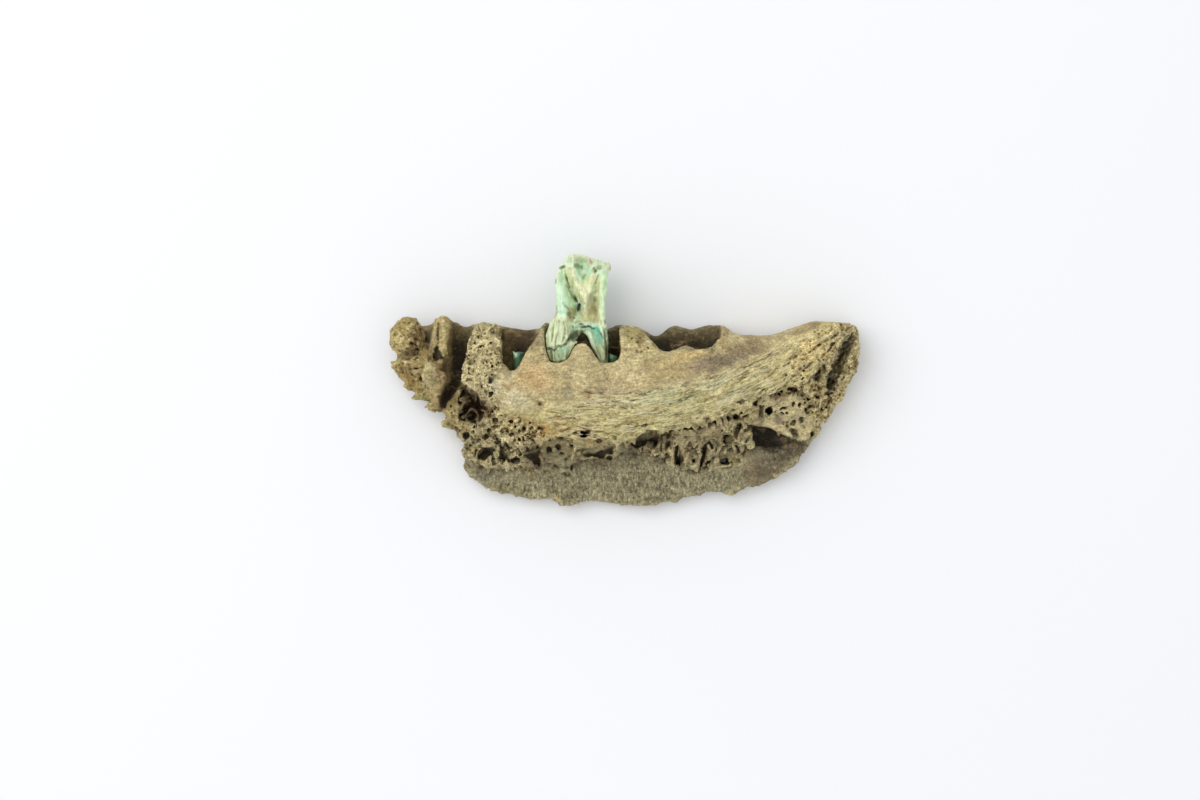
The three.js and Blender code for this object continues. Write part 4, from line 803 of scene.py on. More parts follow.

# Stains, and one painted shadow: x, y, half sizes along and across, turn in degrees, colour and strength
STAINS_AND_SHADOW = [
    (-24.8, 4.3, 0.7, 1.6, 0, (204, 184, 122), 0.7), (-23.9, 6.2, 1.0, 0.7, 20, (172, 152, 84), 0.7),
    (-22.6, 4.6, 0.9, 1.5, -15, (120, 94, 54), 0.85), (-23.2, 2.9, 1.2, 0.8, 0, (106, 88, 56), 0.7),
    (-23.6, 0.5, 1.3, 0.9, -40, (150, 124, 74), 0.7), (-20.2, 0.6, 0.8, 1.2, 0, (126, 106, 70), 0.8),
    (-23.0, -0.6, 0.7, 0.7, 0, (176, 150, 86), 0.6), (-22.2, -1.7, 1.2, 0.5, -20, (150, 144, 88), 0.7),
    (-21.3, 5.0, 0.5, 1.6, 0, (150, 138, 104), 0.8), (-20.6, 5.4, 0.35, 1.6, 0, (206, 188, 134), 0.7),
    (-19.4, 5.2, 0.5, 2.0, 0, (186, 166, 112), 0.7), (-21.4, 0.8, 0.5, 1.5, -5, (212, 198, 146), 0.7),
    (-20.7, 0.2, 0.6, 1.4, 0, (148, 138, 96), 0.8), (-19.7, 0.8, 0.6, 1.3, 0, (146, 122, 84), 0.85),
    (-20.2, 2.7, 0.3, 0.5, 0, (84, 84, 76), 0.8), (-18.4, -2.4, 0.6, 0.6, 0, (160, 138, 82), 0.7),
    (-19.2, -3.4, 0.4, 0.5, 0, (206, 186, 122), 0.7), (-18.7, -4.0, 0.4, 0.25, 0, (140, 96, 56), 0.7),
    (-19.2, -4.8, 0.8, 0.3, 10, (112, 112, 72), 0.8), (-15.2, 5.9, 0.8, 0.35, 0, (158, 148, 92), 0.6),
    (-13.8, 5.2, 0.6, 0.5, 0, (96, 68, 44), 0.8), (-14.2, -0.6, 1.4, 0.9, -30, (196, 188, 158), 0.6),
    (-14.5, -3.3, 0.4, 0.8, 10, (128, 84, 46), 0.6), (-14, -4.5, 0.5, 0.5, 0, (122, 88, 40), 0.8),
    (-17.3, -5.3, 0.6, 0.5, 0, (184, 156, 86), 0.6), (-10.1, 0.3, 1.6, 0.7, 10, (206, 176, 120), 0.6),
    (-12.6, -0.7, 0.7, 0.25, -12, (140, 104, 66), 0.8), (-10.9, 0.6, 0.9, 0.3, 30, (166, 118, 62), 0.5),
    (-9.2, -0.4, 0.7, 0.3, 20, (190, 150, 86), 0.6), (-6.2, -1.2, 0.6, 1.1, 0, (150, 140, 108), 0.7),
    (-9.1, -2.6, 0.35, 0.35, 0, (128, 104, 68), 0.7), (-3.9, -1.9, 0.45, 0.3, 15, (132, 92, 60), 0.85),
    (-3.9, -1.3, 0.6, 0.2, 0, (140, 96, 64), 0.7), (-2.0, -1.1, 2.0, 0.4, 0, (172, 150, 124), 0.6),
    (0.2, -2.2, 2.8, 0.3, 3, (222, 212, 168), 0.7), (-2.9, -2.3, 1.2, 0.35, 0, (212, 206, 172), 0.6),
    (-5, 0.4, 1.6, 1.0, 0, (214, 196, 148), 0.6), (-6.2, -4.1, 1.8, 0.22, 0, (150, 112, 62), 0.7),
    (-4.8, -5.2, 1.8, 0.25, 4, (154, 108, 50), 0.7), (-2.6, -5.9, 2.4, 0.5, 2, (190, 170, 104), 0.5),
    (-5.8, -5.6, 1.6, 0.25, 4, (160, 116, 60), 0.6), (-8.9, -5.3, 0.8, 0.6, 0, (176, 130, 66), 0.6),
    (-7.6, -5.7, 1.2, 0.25, 8, (190, 152, 84), 0.6), (-11.7, -4.1, 1.3, 0.5, 20, (190, 156, 96), 0.5),
    (-3.6, -6.4, 0.25, 0.5, 0, (196, 158, 72), 0.8), (1.2, 5.0, 1.3, 1.0, 0, (170, 156, 96), 0.7),
    (1.7, 4.2, 0.5, 0.7, 0, (128, 102, 60), 0.6), (3.0, 3.3, 0.8, 0.5, 30, (210, 190, 130), 0.6),
    (6.7, 2.6, 3.0, 0.5, 5, (190, 158, 98), 0.5), (10.6, 3.9, 0.5, 1.6, 10, (166, 142, 96), 0.6),
    (10.3, 2.0, 3.8, 1.1, 18, (136, 121, 97), 0.9), (8.2, 1.5, 1.1, 0.45, 20, (164, 142, 118), 0.7),
    (13.6, 3.6, 2.4, 1.0, 14, (140, 122, 92), 0.8), (12.6, 2.4, 1.2, 0.4, 20, (158, 146, 116), 0.6),
    (16.6, 4.6, 1.6, 0.45, 20, (178, 164, 116), 0.6), (19.8, 5.6, 2.0, 0.5, 20, (148, 126, 90), 0.75),
    (15.0, 4.6, 1.2, 0.2, 5, (198, 178, 128), 0.5), (3.4, -1.5, 3.4, 0.35, 6, (174, 184, 134), 0.7),
    (5.4, -2.2, 3.0, 0.3, 9, (176, 186, 138), 0.7), (2.8, -2.4, 2.8, 0.25, 3, (208, 206, 160), 0.7),
    (9.4, -0.4, 2.8, 0.35, 18, (180, 184, 136), 0.6), (-10.4, -5.4, 2.6, 1.6, -10, (186, 150, 84), 0.6),
    (-6.4, -5.2, 3.2, 0.8, 3, (182, 152, 92), 0.55), (-9.6, 0.2, 3.0, 1.8, 0, (196, 166, 116), 0.5),
    (-12.6, 0.6, 1.2, 1.0, 0, (206, 194, 152), 0.6), (0.4, 0.0, 3.4, 1.4, 0, (208, 188, 140), 0.5),
    (4.6, 0.8, 2.6, 1.2, 8, (190, 166, 112), 0.5), (-11.6, -2.2, 2.0, 1.2, -20, (204, 194, 158), 0.6),
    (-8.0, -2.6, 2.6, 0.8, 0, (186, 170, 126), 0.5), (13.2, -1.2, 3.0, 0.4, 26, (212, 200, 146), 0.6),
    (8.0, -3.4, 3.4, 0.5, 12, (178, 166, 106), 0.6), (9.6, -0.4, 2.2, 0.4, 18, (206, 200, 158), 0.5),
    (5.6, -3.0, 2.8, 0.5, 8, (184, 178, 122), 0.5), (2, -4.6, 3.4, 0.5, 4, (182, 170, 108), 0.6),
    (11.5, -1.7, 2.2, 0.5, 22, (190, 184, 138), 0.6), (14.2, 0.6, 2.0, 0.5, 28, (206, 194, 138), 0.6),
    (16.2, -0.2, 1.4, 0.6, 30, (200, 186, 124), 0.6), (19.1, 2.0, 0.8, 0.6, 30, (204, 168, 96), 0.55),
    (20.4, 1.9, 0.5, 0.4, 30, (190, 150, 78), 0.5), (20.6, 3.2, 0.9, 0.4, 30, (196, 162, 96), 0.5),
    (21.6, 4.3, 0.7, 0.35, 32, (128, 92, 48), 0.8), (21.9, 2.8, 0.7, 0.35, 25, (122, 92, 62), 0.8),
    (20.8, 0.5, 0.8, 0.35, 30, (118, 104, 86), 0.8), (21.8, 1.1, 0.35, 0.5, -30, (130, 96, 70), 0.7),
    (17.2, 0.3, 0.9, 0.25, 40, (118, 104, 66), 0.6), (18.3, 2.45, 0.9, 0.2, 22, (126, 106, 66), 0.7),
    (23.4, 5.2, 0.7, 0.5, 30, (206, 184, 130), 0.6), (20.0, 2.6, 2.4, 1.2, 32, (196, 162, 96), 0.5),
    (22.6, 3.4, 0.9, 1.6, -20, (166, 134, 84), 0.6), (21.0, -1.4, 1.2, 1.4, 0, (150, 124, 84), 0.5),
    (24.4, 5.8, 0.6, 0.35, 0, (182, 134, 66), 0.8), (23.7, 3.6, 0.4, 0.8, -25, (140, 138, 118), 0.6),
    (25.1, 2.6, 0.35, 1.0, 0, (164, 122, 68), 0.85), (24.3, 0.2, 0.7, 1.0, -25, (146, 146, 98), 0.8),
    (25.1, 4.7, 0.5, 0.6, 0, (84, 70, 50), 0.7), (22.8, -2.6, 0.7, 0.9, -30, (198, 184, 128), 0.6),
    (17.4, -3.6, 3.8, 3.0, 0, (212, 198, 154), 0.85), (21.4, 1.4, 4.2, 5.0, -30, (250, 228, 158), 0.45),
    (18.9, -1.5, 0.9, 0.6, 10, (126, 110, 90), 0.7), (20.9, 0.4, 1.0, 0.6, 20, (126, 108, 90), 0.7),
    (19.4, 0.5, 1.0, 0.3, 30, (226, 206, 140), 0.6), (20.3, -2.4, 0.9, 0.8, 0, (216, 198, 140), 0.5),
    (17.2, -1.9, 1.2, 0.4, 10, (148, 120, 96), 0.85), (16.9, -4.3, 0.6, 0.7, 0, (138, 126, 104), 0.8),
    (18.3, -4.6, 0.4, 1.2, 5, (190, 184, 140), 0.7), (19.4, -4.6, 0.5, 1.0, 0, (148, 138, 108), 0.7),
    (17, -5.7, 0.9, 0.14, -38, (170, 108, 48), 0.7), (14.0, -3.6, 0.7, 0.7, 0, (198, 184, 130), 0.6),
    (9.6, -5.2, 1.2, 0.7, 0, (154, 136, 104), 0.8), (7.2, -6.0, 1.2, 0.4, 0, (152, 144, 108), 0.8),
    (11.6, -4.5, 0.6, 0.45, 30, (138, 118, 104), 0.8), (11.3, -5.4, 0.5, 0.25, 0, (206, 196, 130), 0.7),
    (12.6, -6.5, 1.0, 0.4, -20, (206, 190, 134), 0.7), (12.1, -8.5, 0.7, 0.6, 0, (180, 162, 108), 0.6),
    (6.9, -8.0, 0.6, 1.2, 0, (142, 122, 86), 0.7), (10, -7.6, 0.6, 0.5, 0, (160, 150, 110), 0.6),
    # The dark patch at (15.6, -6.5) is painted shadow under the shelf's overhang
    (2.6, -7.7, 1.6, 0.5, 0, (134, 116, 90), 0.6), (15.6, -6.5, 2.1, 1.1, -14, (50, 44, 34), 1.0),
    (18.0, -7.4, 1.6, 0.7, -20, (100, 88, 68), 0.8), (15.8, -9.4, 3.4, 1.8, 25, (114, 102, 80), 0.85),
    (-16.3, -2.9, 1.0, 1.3, 0, (78, 54, 38), 0.8), (19.4, -7.6, 0.4, 1.0, -40, (132, 118, 84), 0.6),
    (0.5, -11.0, 6.0, 1.6, 0, (148, 138, 106), 0.5), (-12.2, -12.0, 2.4, 0.7, -15, (122, 114, 76), 0.6),
    (-15.3, -10.4, 0.8, 0.7, -30, (112, 106, 88), 0.7), (-17.2, -10, 0.3, 1.0, 20, (150, 124, 86), 0.6),
    (-16.5, -7.6, 0.8, 0.5, 0, (200, 180, 118), 0.7), (-14.6, -9.3, 1.6, 0.3, 8, (186, 168, 118), 0.6),
    (-13.7, -8.4, 0.3, 0.7, 0, (170, 148, 92), 0.6), (-10.2, -9.8, 0.9, 0.9, 0, (170, 152, 102), 0.6),
    (-7.2, -12.9, 0.35, 0.35, 0, (224, 196, 134), 0.8), (-5.3, -7.7, 0.35, 0.7, 0, (182, 168, 124), 0.6),
]

# Brown soil and painted shade inside the deeper cavities
DEEP_SOIL_AND_SHADE = [
    (-12.6, 3.2, 1.1, 2.8, 0, (128, 110, 68), 0.65), (-11.0, 4.6, 2.2, 1.5, 0, (96, 78, 56), 0.6),
    (6.0, 3.8, 3.4, 0.9, 0, (48, 39, 26), 0.5), (-16.2, -3.0, 1.8, 1.9, 0, (92, 66, 45), 0.55),
    (-4.3, -6.1, 1.0, 1.0, 0, (96, 72, 52), 0.6), (-2.4, -6.7, 1.0, 0.6, 0, (120, 92, 58), 0.6),
    (2.6, -6.6, 2.8, 0.8, 12, (84, 70, 50), 0.6), (-14.4, -3.6, 0.5, 0.9, 10, (110, 78, 42), 0.6),
    (-9.7, -8.3, 1.2, 1.8, 0, (84, 66, 50), 0.5), (-20.9, 5.0, 0.5, 2.2, 0, (142, 128, 94), 0.6),
    (23.6, 2.9, 0.7, 2.6, -22, (72, 62, 46), 0.4), (22.5, -0.3, 0.5, 1.8, -8, (44, 38, 24), 0.7),
    (23.9, 3.9, 0.7, 1.2, -25, (120, 114, 92), 0.5),
]
SHADED_FLOOR = [
    (2.4, -6.9, 2.8, 0.8, 8, (54, 46, 33), 0.8), (-2.6, -7.9, 2.2, 0.8, 0, (62, 52, 37), 0.75),
    (-5.3, -8.9, 0.9, 1.0, 0, (70, 58, 42), 0.6), (15.6, -6.2, 3.6, 1.9, -20, (46, 41, 31), 0.95),
    (18.4, -7.4, 2.2, 0.9, -30, (96, 86, 68), 0.6), (7.0, -7.6, 8.5, 1.2, 0, (112, 100, 76), 0.5),
    (-2.8, -8.6, 2.8, 0.9, 0, (96, 86, 62), 0.6), (-12.6, -9.0, 4.6, 1.0, 0, (106, 96, 72), 0.5),
]


def linear(colour):
    """The values from 0 to 1 that the material works with, from ones from 0 to 255 as they look."""
    share = np.array(colour, float) / 255
    return np.where(share <= 0.04045, share / 12.92, ((share + 0.055) / 1.055) ** 2.4)


def mixed(base, colour, amount):
    amount = np.clip(amount, 0, 1)[:, None]
    return base * (1 - amount) + linear(colour) * amount


def stained_and_shaded(tint, stains_and_shades, x, y, facing_up):
    """The colours with a list of uneven patches laid over them: stains, and in some lists painted shade."""
    for at_x, at_y, along, across, turn, colour, strength in stains_and_shades:
        u, v = turned(x - at_x, y - at_y, along, across, turn)
        away = np.hypot(u, v) + 0.45 * crags(x * 0.9, y * 0.9, seed=63)
        tint = mixed(tint, colour, strength * eased(away, 1.25, 0.55) * facing_up)
    return tint


def hollowness(clay, reach):
    """0 on sharp edges, 0.5 on the flat and 1 deep in a corner, judged over a reach in millimetres."""
    solid = np.clip(0.5 - clay.field / clay.step, 0, 1)
    return blurred(solid, reach / clay.step)


def lay(made, name, values):
    """Values laid on each point of a mesh, for its material to read: a number, or a colour of three."""
    kind, field = ("FLOAT", "value") if values.ndim == 1 else ("FLOAT_COLOR", "color")
    if values.ndim == 2:
        values = np.concatenate([values, np.ones((len(values), 1))], axis=1)
    attribute = made.data.attributes.new(name, kind, "POINT")
    attribute.data.foreach_set(field, values.astype(np.float32).ravel())


spots = vertices(jaw_bone)
px, py, pz = spots.T
facing = jaw.outward(spots)[:, 2]
fine_hollow = jaw.read(hollowness(jaw, 0.3), spots)
mid_hollow = jaw.read(hollowness(jaw, 0.6), spots)
broad_hollow = jaw.read(hollowness(jaw, 1.1), spots)
dirt_and_shade = jaw.read(jaw.dirt_and_shade, spots)
there = {name: jaw.read_page(values, spots) for name, values in zone.items()}
cells_here = np.clip(sum(there[n] for n in ("fine", "band", "left", "right", "end", "frayed")), 0, 1)
grey_sponge = np.clip(sum(there[n] for n in ("left", "right", "dome", "ledge")), 0, 1)
patchy = crags(px * 0.35, py * 0.35, pz * 0.35, 61) + 0.5 * crags(px * 0.9, py * 0.9, pz * 0.9, 62)
on_inner = eased(py, -5.0, -6.6) * eased(pz, 5.0, 3.8)

tint = np.repeat(linear(OUTER_TAN)[None], len(spots), axis=0)
tint = mixed(tint, LOWER_CREAM, eased(grain_line(px, py), -1.6, -3.6) * 0.8)
tint = mixed(tint, FAR_END, there["end"] * (0.4 + 0.45 * eased(pz, 2.4, 3.4)))
tint = mixed(tint, FRAYED_GOLD, there["frayed"] * (0.5 + 0.4 * patchy))
tint = mixed(tint, NEAR_END, eased(px, -16.9, -18.2))
tint = mixed(tint, CELL_CREAM_AND_HIGHLIGHT, np.clip(there["fine"] + there["band"], 0, 1) * 0.6)
tint = mixed(tint, SPONGE_BROWN, grey_sponge * 0.9)
tint = mixed(tint, SILT_GREY, on_inner * (1 - 0.5 * grey_sponge))
tint = mixed(tint, INNER_SIDE, eased(facing, 0.1, -0.5))
tint = stained_and_shaded(tint, STAINS_AND_SHADOW, px, py, eased(facing, -0.3, 0.2))
tint *= (1 + 0.16 * patchy)[:, None]
# Painted highlight on sharp edges and thin cell walls, cream on the cells and greyer on the grey sponge, at
# two scales
tint = mixed(tint, CELL_CREAM_AND_HIGHLIGHT, eased(fine_hollow, 0.43, 0.28) * (0.4 + 0.5 * cells_here) * (1 - grey_sponge))
tint = mixed(tint, SPONGE_EDGE_HIGHLIGHT, eased(fine_hollow, 0.44, 0.26) * grey_sponge * 0.8)
ragged = np.clip(cells_here + there["ledge"] + there["shelf"], 0, 1)
tint = mixed(tint, SPONGE_EDGE_HIGHLIGHT, eased(mid_hollow, 0.47, 0.33) * ragged * 0.5)
# Painted shade in the hollows between the cells, read from how enclosed each point is
tint = mixed(tint, CELL_DIRT_AND_SHADE, eased(mid_hollow, 0.51, 0.66) * ragged * (0.6 - 0.3 * there["frayed"]))
# Sockets: dark soil and painted shade, darker deeper below the rim and away from the far rim
mouths = sum(region(jaw.page, outline, 0.25, 0.2) for outline in SOCKET_MOUTHS)
socket_soil_and_shade = jaw.read_page(np.clip(mouths, 0, 1), spots)
socket_soil_and_shade = socket_soil_and_shade * eased(pz, 8.2, 6.4) * (0.68 + 0.32 * eased(py, 5.8, 3.4))
tint = mixed(tint, SOCKET_SOIL_AND_SHADE, socket_soil_and_shade)
# Painted shade in crevices and broad hollows, and the carved dirt and shade, darker deeper below the top
tint = mixed(tint, CELL_DIRT_AND_SHADE, eased(fine_hollow, 0.54, 0.74) * 0.85)
tint = mixed(tint, CELL_DIRT_AND_SHADE, eased(broad_hollow, 0.62, 0.82) * 0.7 * eased(px, -18.4, -17.2))
tint = mixed(tint, CELL_DIRT_AND_SHADE, dirt_and_shade * (0.6 + 0.35 * eased(jaw.read_page(top, spots) - pz, 0.2, 1.2)))

# Brown soil and painted shade in the deeper cavities
tint = stained_and_shaded(tint, DEEP_SOIL_AND_SHADE, px, py, eased(facing, -0.6, 0.2))
tint = stained_and_shaded(tint, SHADED_FLOOR, px, py, eased(pz, 3.6, 2.7))

lay(jaw_bone, "tint", tint)
below_top = np.clip(jaw.read_page(top, spots) - pz, 0, None)
lay(jaw_bone, "strand", np.stack([px, grain_line(px, py) - below_top, pz], axis=1))
lay(jaw_bone, "porous", np.clip(cells_here + there["knob"] + there["edge"] * 0.6 + 0.12, 0, 1))
flecked = jaw.read_page(region(jaw.page, FLECKED, 1.2, 1.0), spots)
lay(jaw_bone, "silt", on_inner * (0.25 + 0.75 * flecked) * (1 - dirt_and_shade))
grained = there["layers"] * (1 - 0.5 * there["frayed"]) + 0.3 * there["end"]
grained = np.clip(grained, 0, 1) * eased(facing, -0.1, 0.5)
lay(jaw_bone, "layered", grained * (1 - on_inner))


class Finish:
    """A material's nodes, joined up by plain calls that each return an output."""

    def __init__(self, name, roughness, specular=0.3):
        self.material = bpy.data.materials.new(name)
        self.material.use_nodes = True
        self.tree = self.material.node_tree
        self.shader = self.tree.nodes["Principled BSDF"]
        self.shader.inputs["Roughness"].default_value = roughness
        self.shader.inputs["Specular IOR Level"].default_value = specular
        self.place = self.scaled(self.add("ShaderNodeTexCoord").outputs["Object"], (1 / MM,) * 3)

    def add(self, kind, **settings):
        node = self.tree.nodes.new(kind)
        for name, value in settings.items():
            setattr(node, name, value)
        return node

    def feed(self, socket, value):
        if isinstance(value, bpy.types.NodeSocket):
            self.tree.links.new(value, socket)
        else:
            socket.default_value = value

    def laid(self, name, output="Fac"):
        return self.add("ShaderNodeAttribute", attribute_name=name).outputs[output]

    def scaled(self, vector, sizes):
        node = self.add("ShaderNodeVectorMath", operation="MULTIPLY")
        self.feed(node.inputs[0], vector)
        node.inputs[1].default_value = sizes
        return node.outputs[0]

    def noise(self, vector, sizes, detail=3.0, rough=0.6):
        node = self.add("ShaderNodeTexNoise")
        self.feed(node.inputs["Vector"], self.scaled(vector, sizes))
        node.inputs["Scale"].default_value = 1
        node.inputs["Detail"].default_value = detail
        node.inputs["Roughness"].default_value = rough
        return node.outputs["Fac"]

    def cells(self, vector, sizes):
        node = self.add("ShaderNodeTexVoronoi")
        self.feed(node.inputs["Vector"], self.scaled(vector, sizes))
        node.inputs["Scale"].default_value = 1
        return node.outputs["Distance"]

    def veins(self, vector, sizes, detail, middle):
        """Near 0 along the winding lines where a noise passes its middle."""
        return self.maths("ABSOLUTE", self.maths("SUBTRACT", self.noise(vector, sizes, detail), middle))

    def ramp(self, value, low, high, start=0.0, end=1.0):
        node = self.add("ShaderNodeMapRange", interpolation_type="SMOOTHSTEP")
        self.feed(node.inputs["Value"], value)
        for socket, number in zip(("From Min", "From Max", "To Min", "To Max"), (low, high, start, end)):
            self.feed(node.inputs[socket], number)
        return node.outputs["Result"]

    def maths(self, operation, *numbers):
        node = self.add("ShaderNodeMath", operation=operation)
        for socket, number in zip(node.inputs, numbers):
            self.feed(socket, number)
        return node.outputs[0]

    def blended(self, share, under, above):
        node = self.add("ShaderNodeMix", data_type="RGBA")
        for number, value in ((0, share), (6, under), (7, above)):
            self.feed(node.inputs[number], value)
        return node.outputs[2]

    def over(self, share, under, colour):
        """A colour, 0 to 255 as it looks, laid over another by a share."""
        return self.blended(share, under, (*linear(colour), 1))

    def marked(self, colour, noise, low, high, where, strength, mark):
        """A colour with marks where a noise passes from low to high, kept to a place and a strength."""
        share = self.maths("MULTIPLY", self.ramp(noise, low, high), where)
        return self.over(self.maths("MULTIPLY", share, strength), colour, mark)

    def shaded(self, colour, share):
        """A colour made lighter or darker by a number about 1."""
        node = self.add("ShaderNodeVectorMath", operation="SCALE")
        self.feed(node.inputs[0], colour)
        self.feed(node.inputs["Scale"], share)
        return node.outputs[0]

    def close(self, colour, bump, depth):
        self.feed(self.shader.inputs["Base Color"], colour)
        node = self.add("ShaderNodeBump")
        node.inputs["Distance"].default_value = depth * MM
        self.feed(node.inputs["Height"], bump)
        self.feed(self.shader.inputs["Normal"], node.outputs["Normal"])
        return self.material


def bone_finish():
    made = Finish("buried bone", roughness=0.82)
    strand = made.laid("strand", "Vector")
    porous, silt = made.laid("porous"), made.laid("silt")
    layered = made.laid("layered")
    streaks = made.noise(strand, (0.8, 4.4, 1.2), detail=5, rough=0.72)
    specks = made.noise(made.place, (3.2, 3.2, 3.2), detail=4, rough=0.75)
    hatching = made.noise(made.place, (1.8, 5.4, 4.0), detail=3)
    patches = made.noise(made.place, (0.6, 0.9, 0.7), detail=5, rough=0.72)
    grain = made.noise(made.place, (5.5, 5.5, 5.5), detail=3, rough=0.7)
    clouds = made.noise(made.place, (1.1, 1.3, 1.1), detail=5, rough=0.6)
    needles = made.noise(made.place, (4.2, 1.9, 3), detail=3, rough=0.7)
    pores = made.cells(made.place, (2.1, 2.1, 2.1))
    seams = made.veins(strand, (0.6, 1.6, 0.8), 4, 0.5)
    bands = made.veins(strand, (0.35, 2.6, 0.5), 5, 0.47)

    colour = made.laid("tint", "Color")
    bare = made.maths("SUBTRACT", 1.0, silt)
    browner = made.maths("MULTIPLY", made.ramp(patches, 0.52, 0.64, 0.0, 0.5), bare)
    colour = made.over(browner, colour, BROWN_PATCH)
    colour = made.shaded(colour, made.ramp(patches, 0.5, 0.34, 1.0, 1.16))
    fine_range = made.maths("MULTIPLY", porous, 0.2)
    low, high = made.maths("SUBTRACT", 0.76, fine_range), made.maths("ADD", 1.22, fine_range)
    colour = made.shaded(colour, made.ramp(specks, 0.32, 0.68, low, high))
    colour = made.shaded(colour, made.ramp(hatching, 0.3, 0.7, 0.86, 1.14))
    colour = made.shaded(colour, made.ramp(clouds, 0.36, 0.64, 0.84, 1.12))
    colour = made.shaded(colour, made.ramp(grain, 0.34, 0.66, 0.83, 1.17))
    streaky = made.shaded(colour, made.ramp(streaks, 0.34, 0.66, 0.62, 1.36))
    colour = made.blended(made.maths("MULTIPLY_ADD", layered, 0.7, 0.3), colour, streaky)
    colour = made.marked(colour, needles, 0.53, 0.68, silt, 0.9, SILT_FLECK)
    colour = made.marked(colour, needles, 0.48, 0.36, silt, 0.75, SILT_GRIT)
    colour = made.marked(colour, pores, 0.3, 0.16, porous, 0.6, PORE_BROWN)
    colour = made.marked(colour, seams, 0.022, 0.004, layered, 0.6, SEAM_BROWN)
    colour = made.marked(colour, bands, 0.04, 0.008, layered, 0.8, STRAND_CREAM)

    pits = made.maths("MULTIPLY", made.ramp(pores, 0.3, 0.16), porous)
    bump = made.maths("ADD", made.maths("MULTIPLY", streaks, 0.5), specks)
    bump = made.maths("SUBTRACT", bump, pits)
    return made.close(colour, bump, GRAIN_DEPTH)


jaw_bone.data.materials.clear()
jaw_bone.data.materials.append(bone_finish())

# The tooth. One tall cheek tooth with two roots, stained green by copper in the soil. Folded enamel runs down
# its crown in cream and green bands, and the roots fork over a bony ridge into the jaw's sockets.

TOOTH_STEP = 0.085
TOOTH_TRIANGLES = 90000
TOOTH_MINT = (220, 240, 206)
TOOTH_CREAM = (222, 224, 178)
TOOTH_TEAL = (22, 104, 84)
TOOTH_FISSURE_DIRT_AND_SHADE = (66, 68, 40)
TOOTH_SIDE = (150, 184, 146)
TOOTH_EDGE_HIGHLIGHT = (222, 224, 182)
TOOTH_SPECK = (120, 128, 84)
ARCH_SHADE = (42, 36, 24)
ARCH_AT, ARCH_HALF = (-4.4, 4.4), (1.3, 1.2)
ENAMEL_DEPTH = 0.05

# Bands of enamel that stand up from the crown: outline and height
TOOTH_BANDS = [
    ([(-6.5, 12.1), (-5.5, 12.3), (-5.3, 11.4), (-4.9, 10.4), (-4.0, 9.6), (-4.0, 8.2), (-4.9, 8.5),
      (-5.9, 10.0)], 0.2),
    ([(-3.9, 11.2), (-2.8, 11.5), (-3.4, 9.8), (-4.0, 8.1), (-4.4, 8.4), (-4.4, 10.2)], 0.14),
    ([(-2.9, 11.0), (-2.3, 11), (-2.1, 9), (-2.1, 6.4), (-2.5, 6.3), (-2.8, 7.6), (-3.1, 9.4)], 0.1),
    ([(-7.4, 11.6), (-6.5, 11.4), (-6.0, 10.0), (-5.2, 8.6), (-5.2, 7.4), (-6.2, 7.2), (-7.3, 7.4)],
     0.12),
    ([(-5.1, 7.4), (-4.2, 8.0), (-3.2, 7.7), (-2.9, 6.2), (-4.0, 6.0), (-5.2, 6.2)], 0.1),
    ([(-8.1, 6.8), (-6.0, 6.8), (-5.7, 5.2), (-6.3, 4.1), (-7.2, 3.6), (-8.3, 3.5)], 0.14),
    ([(-3.1, 3.8), (-2.1, 3.9), (-1.8, 1.9), (-2.4, 2.0)], 0.14),
    ([(-3.6, 9.8), (-3.0, 9.8), (-2.8, 7.0), (-3.7, 7.0)], 0.12),
]
# Sunken parts of the crown: outline and depth
TOOTH_SINKS = [
    ([(-5.3, 12.4), (-4.4, 12.5), (-4.4, 11), (-4.7, 10.6), (-5.1, 11.2)], 0.06),
    ([(-3.4, 12.1), (-2.4, 12.4), (-2.4, 11.6), (-3.2, 11.5)], 0.06),
]
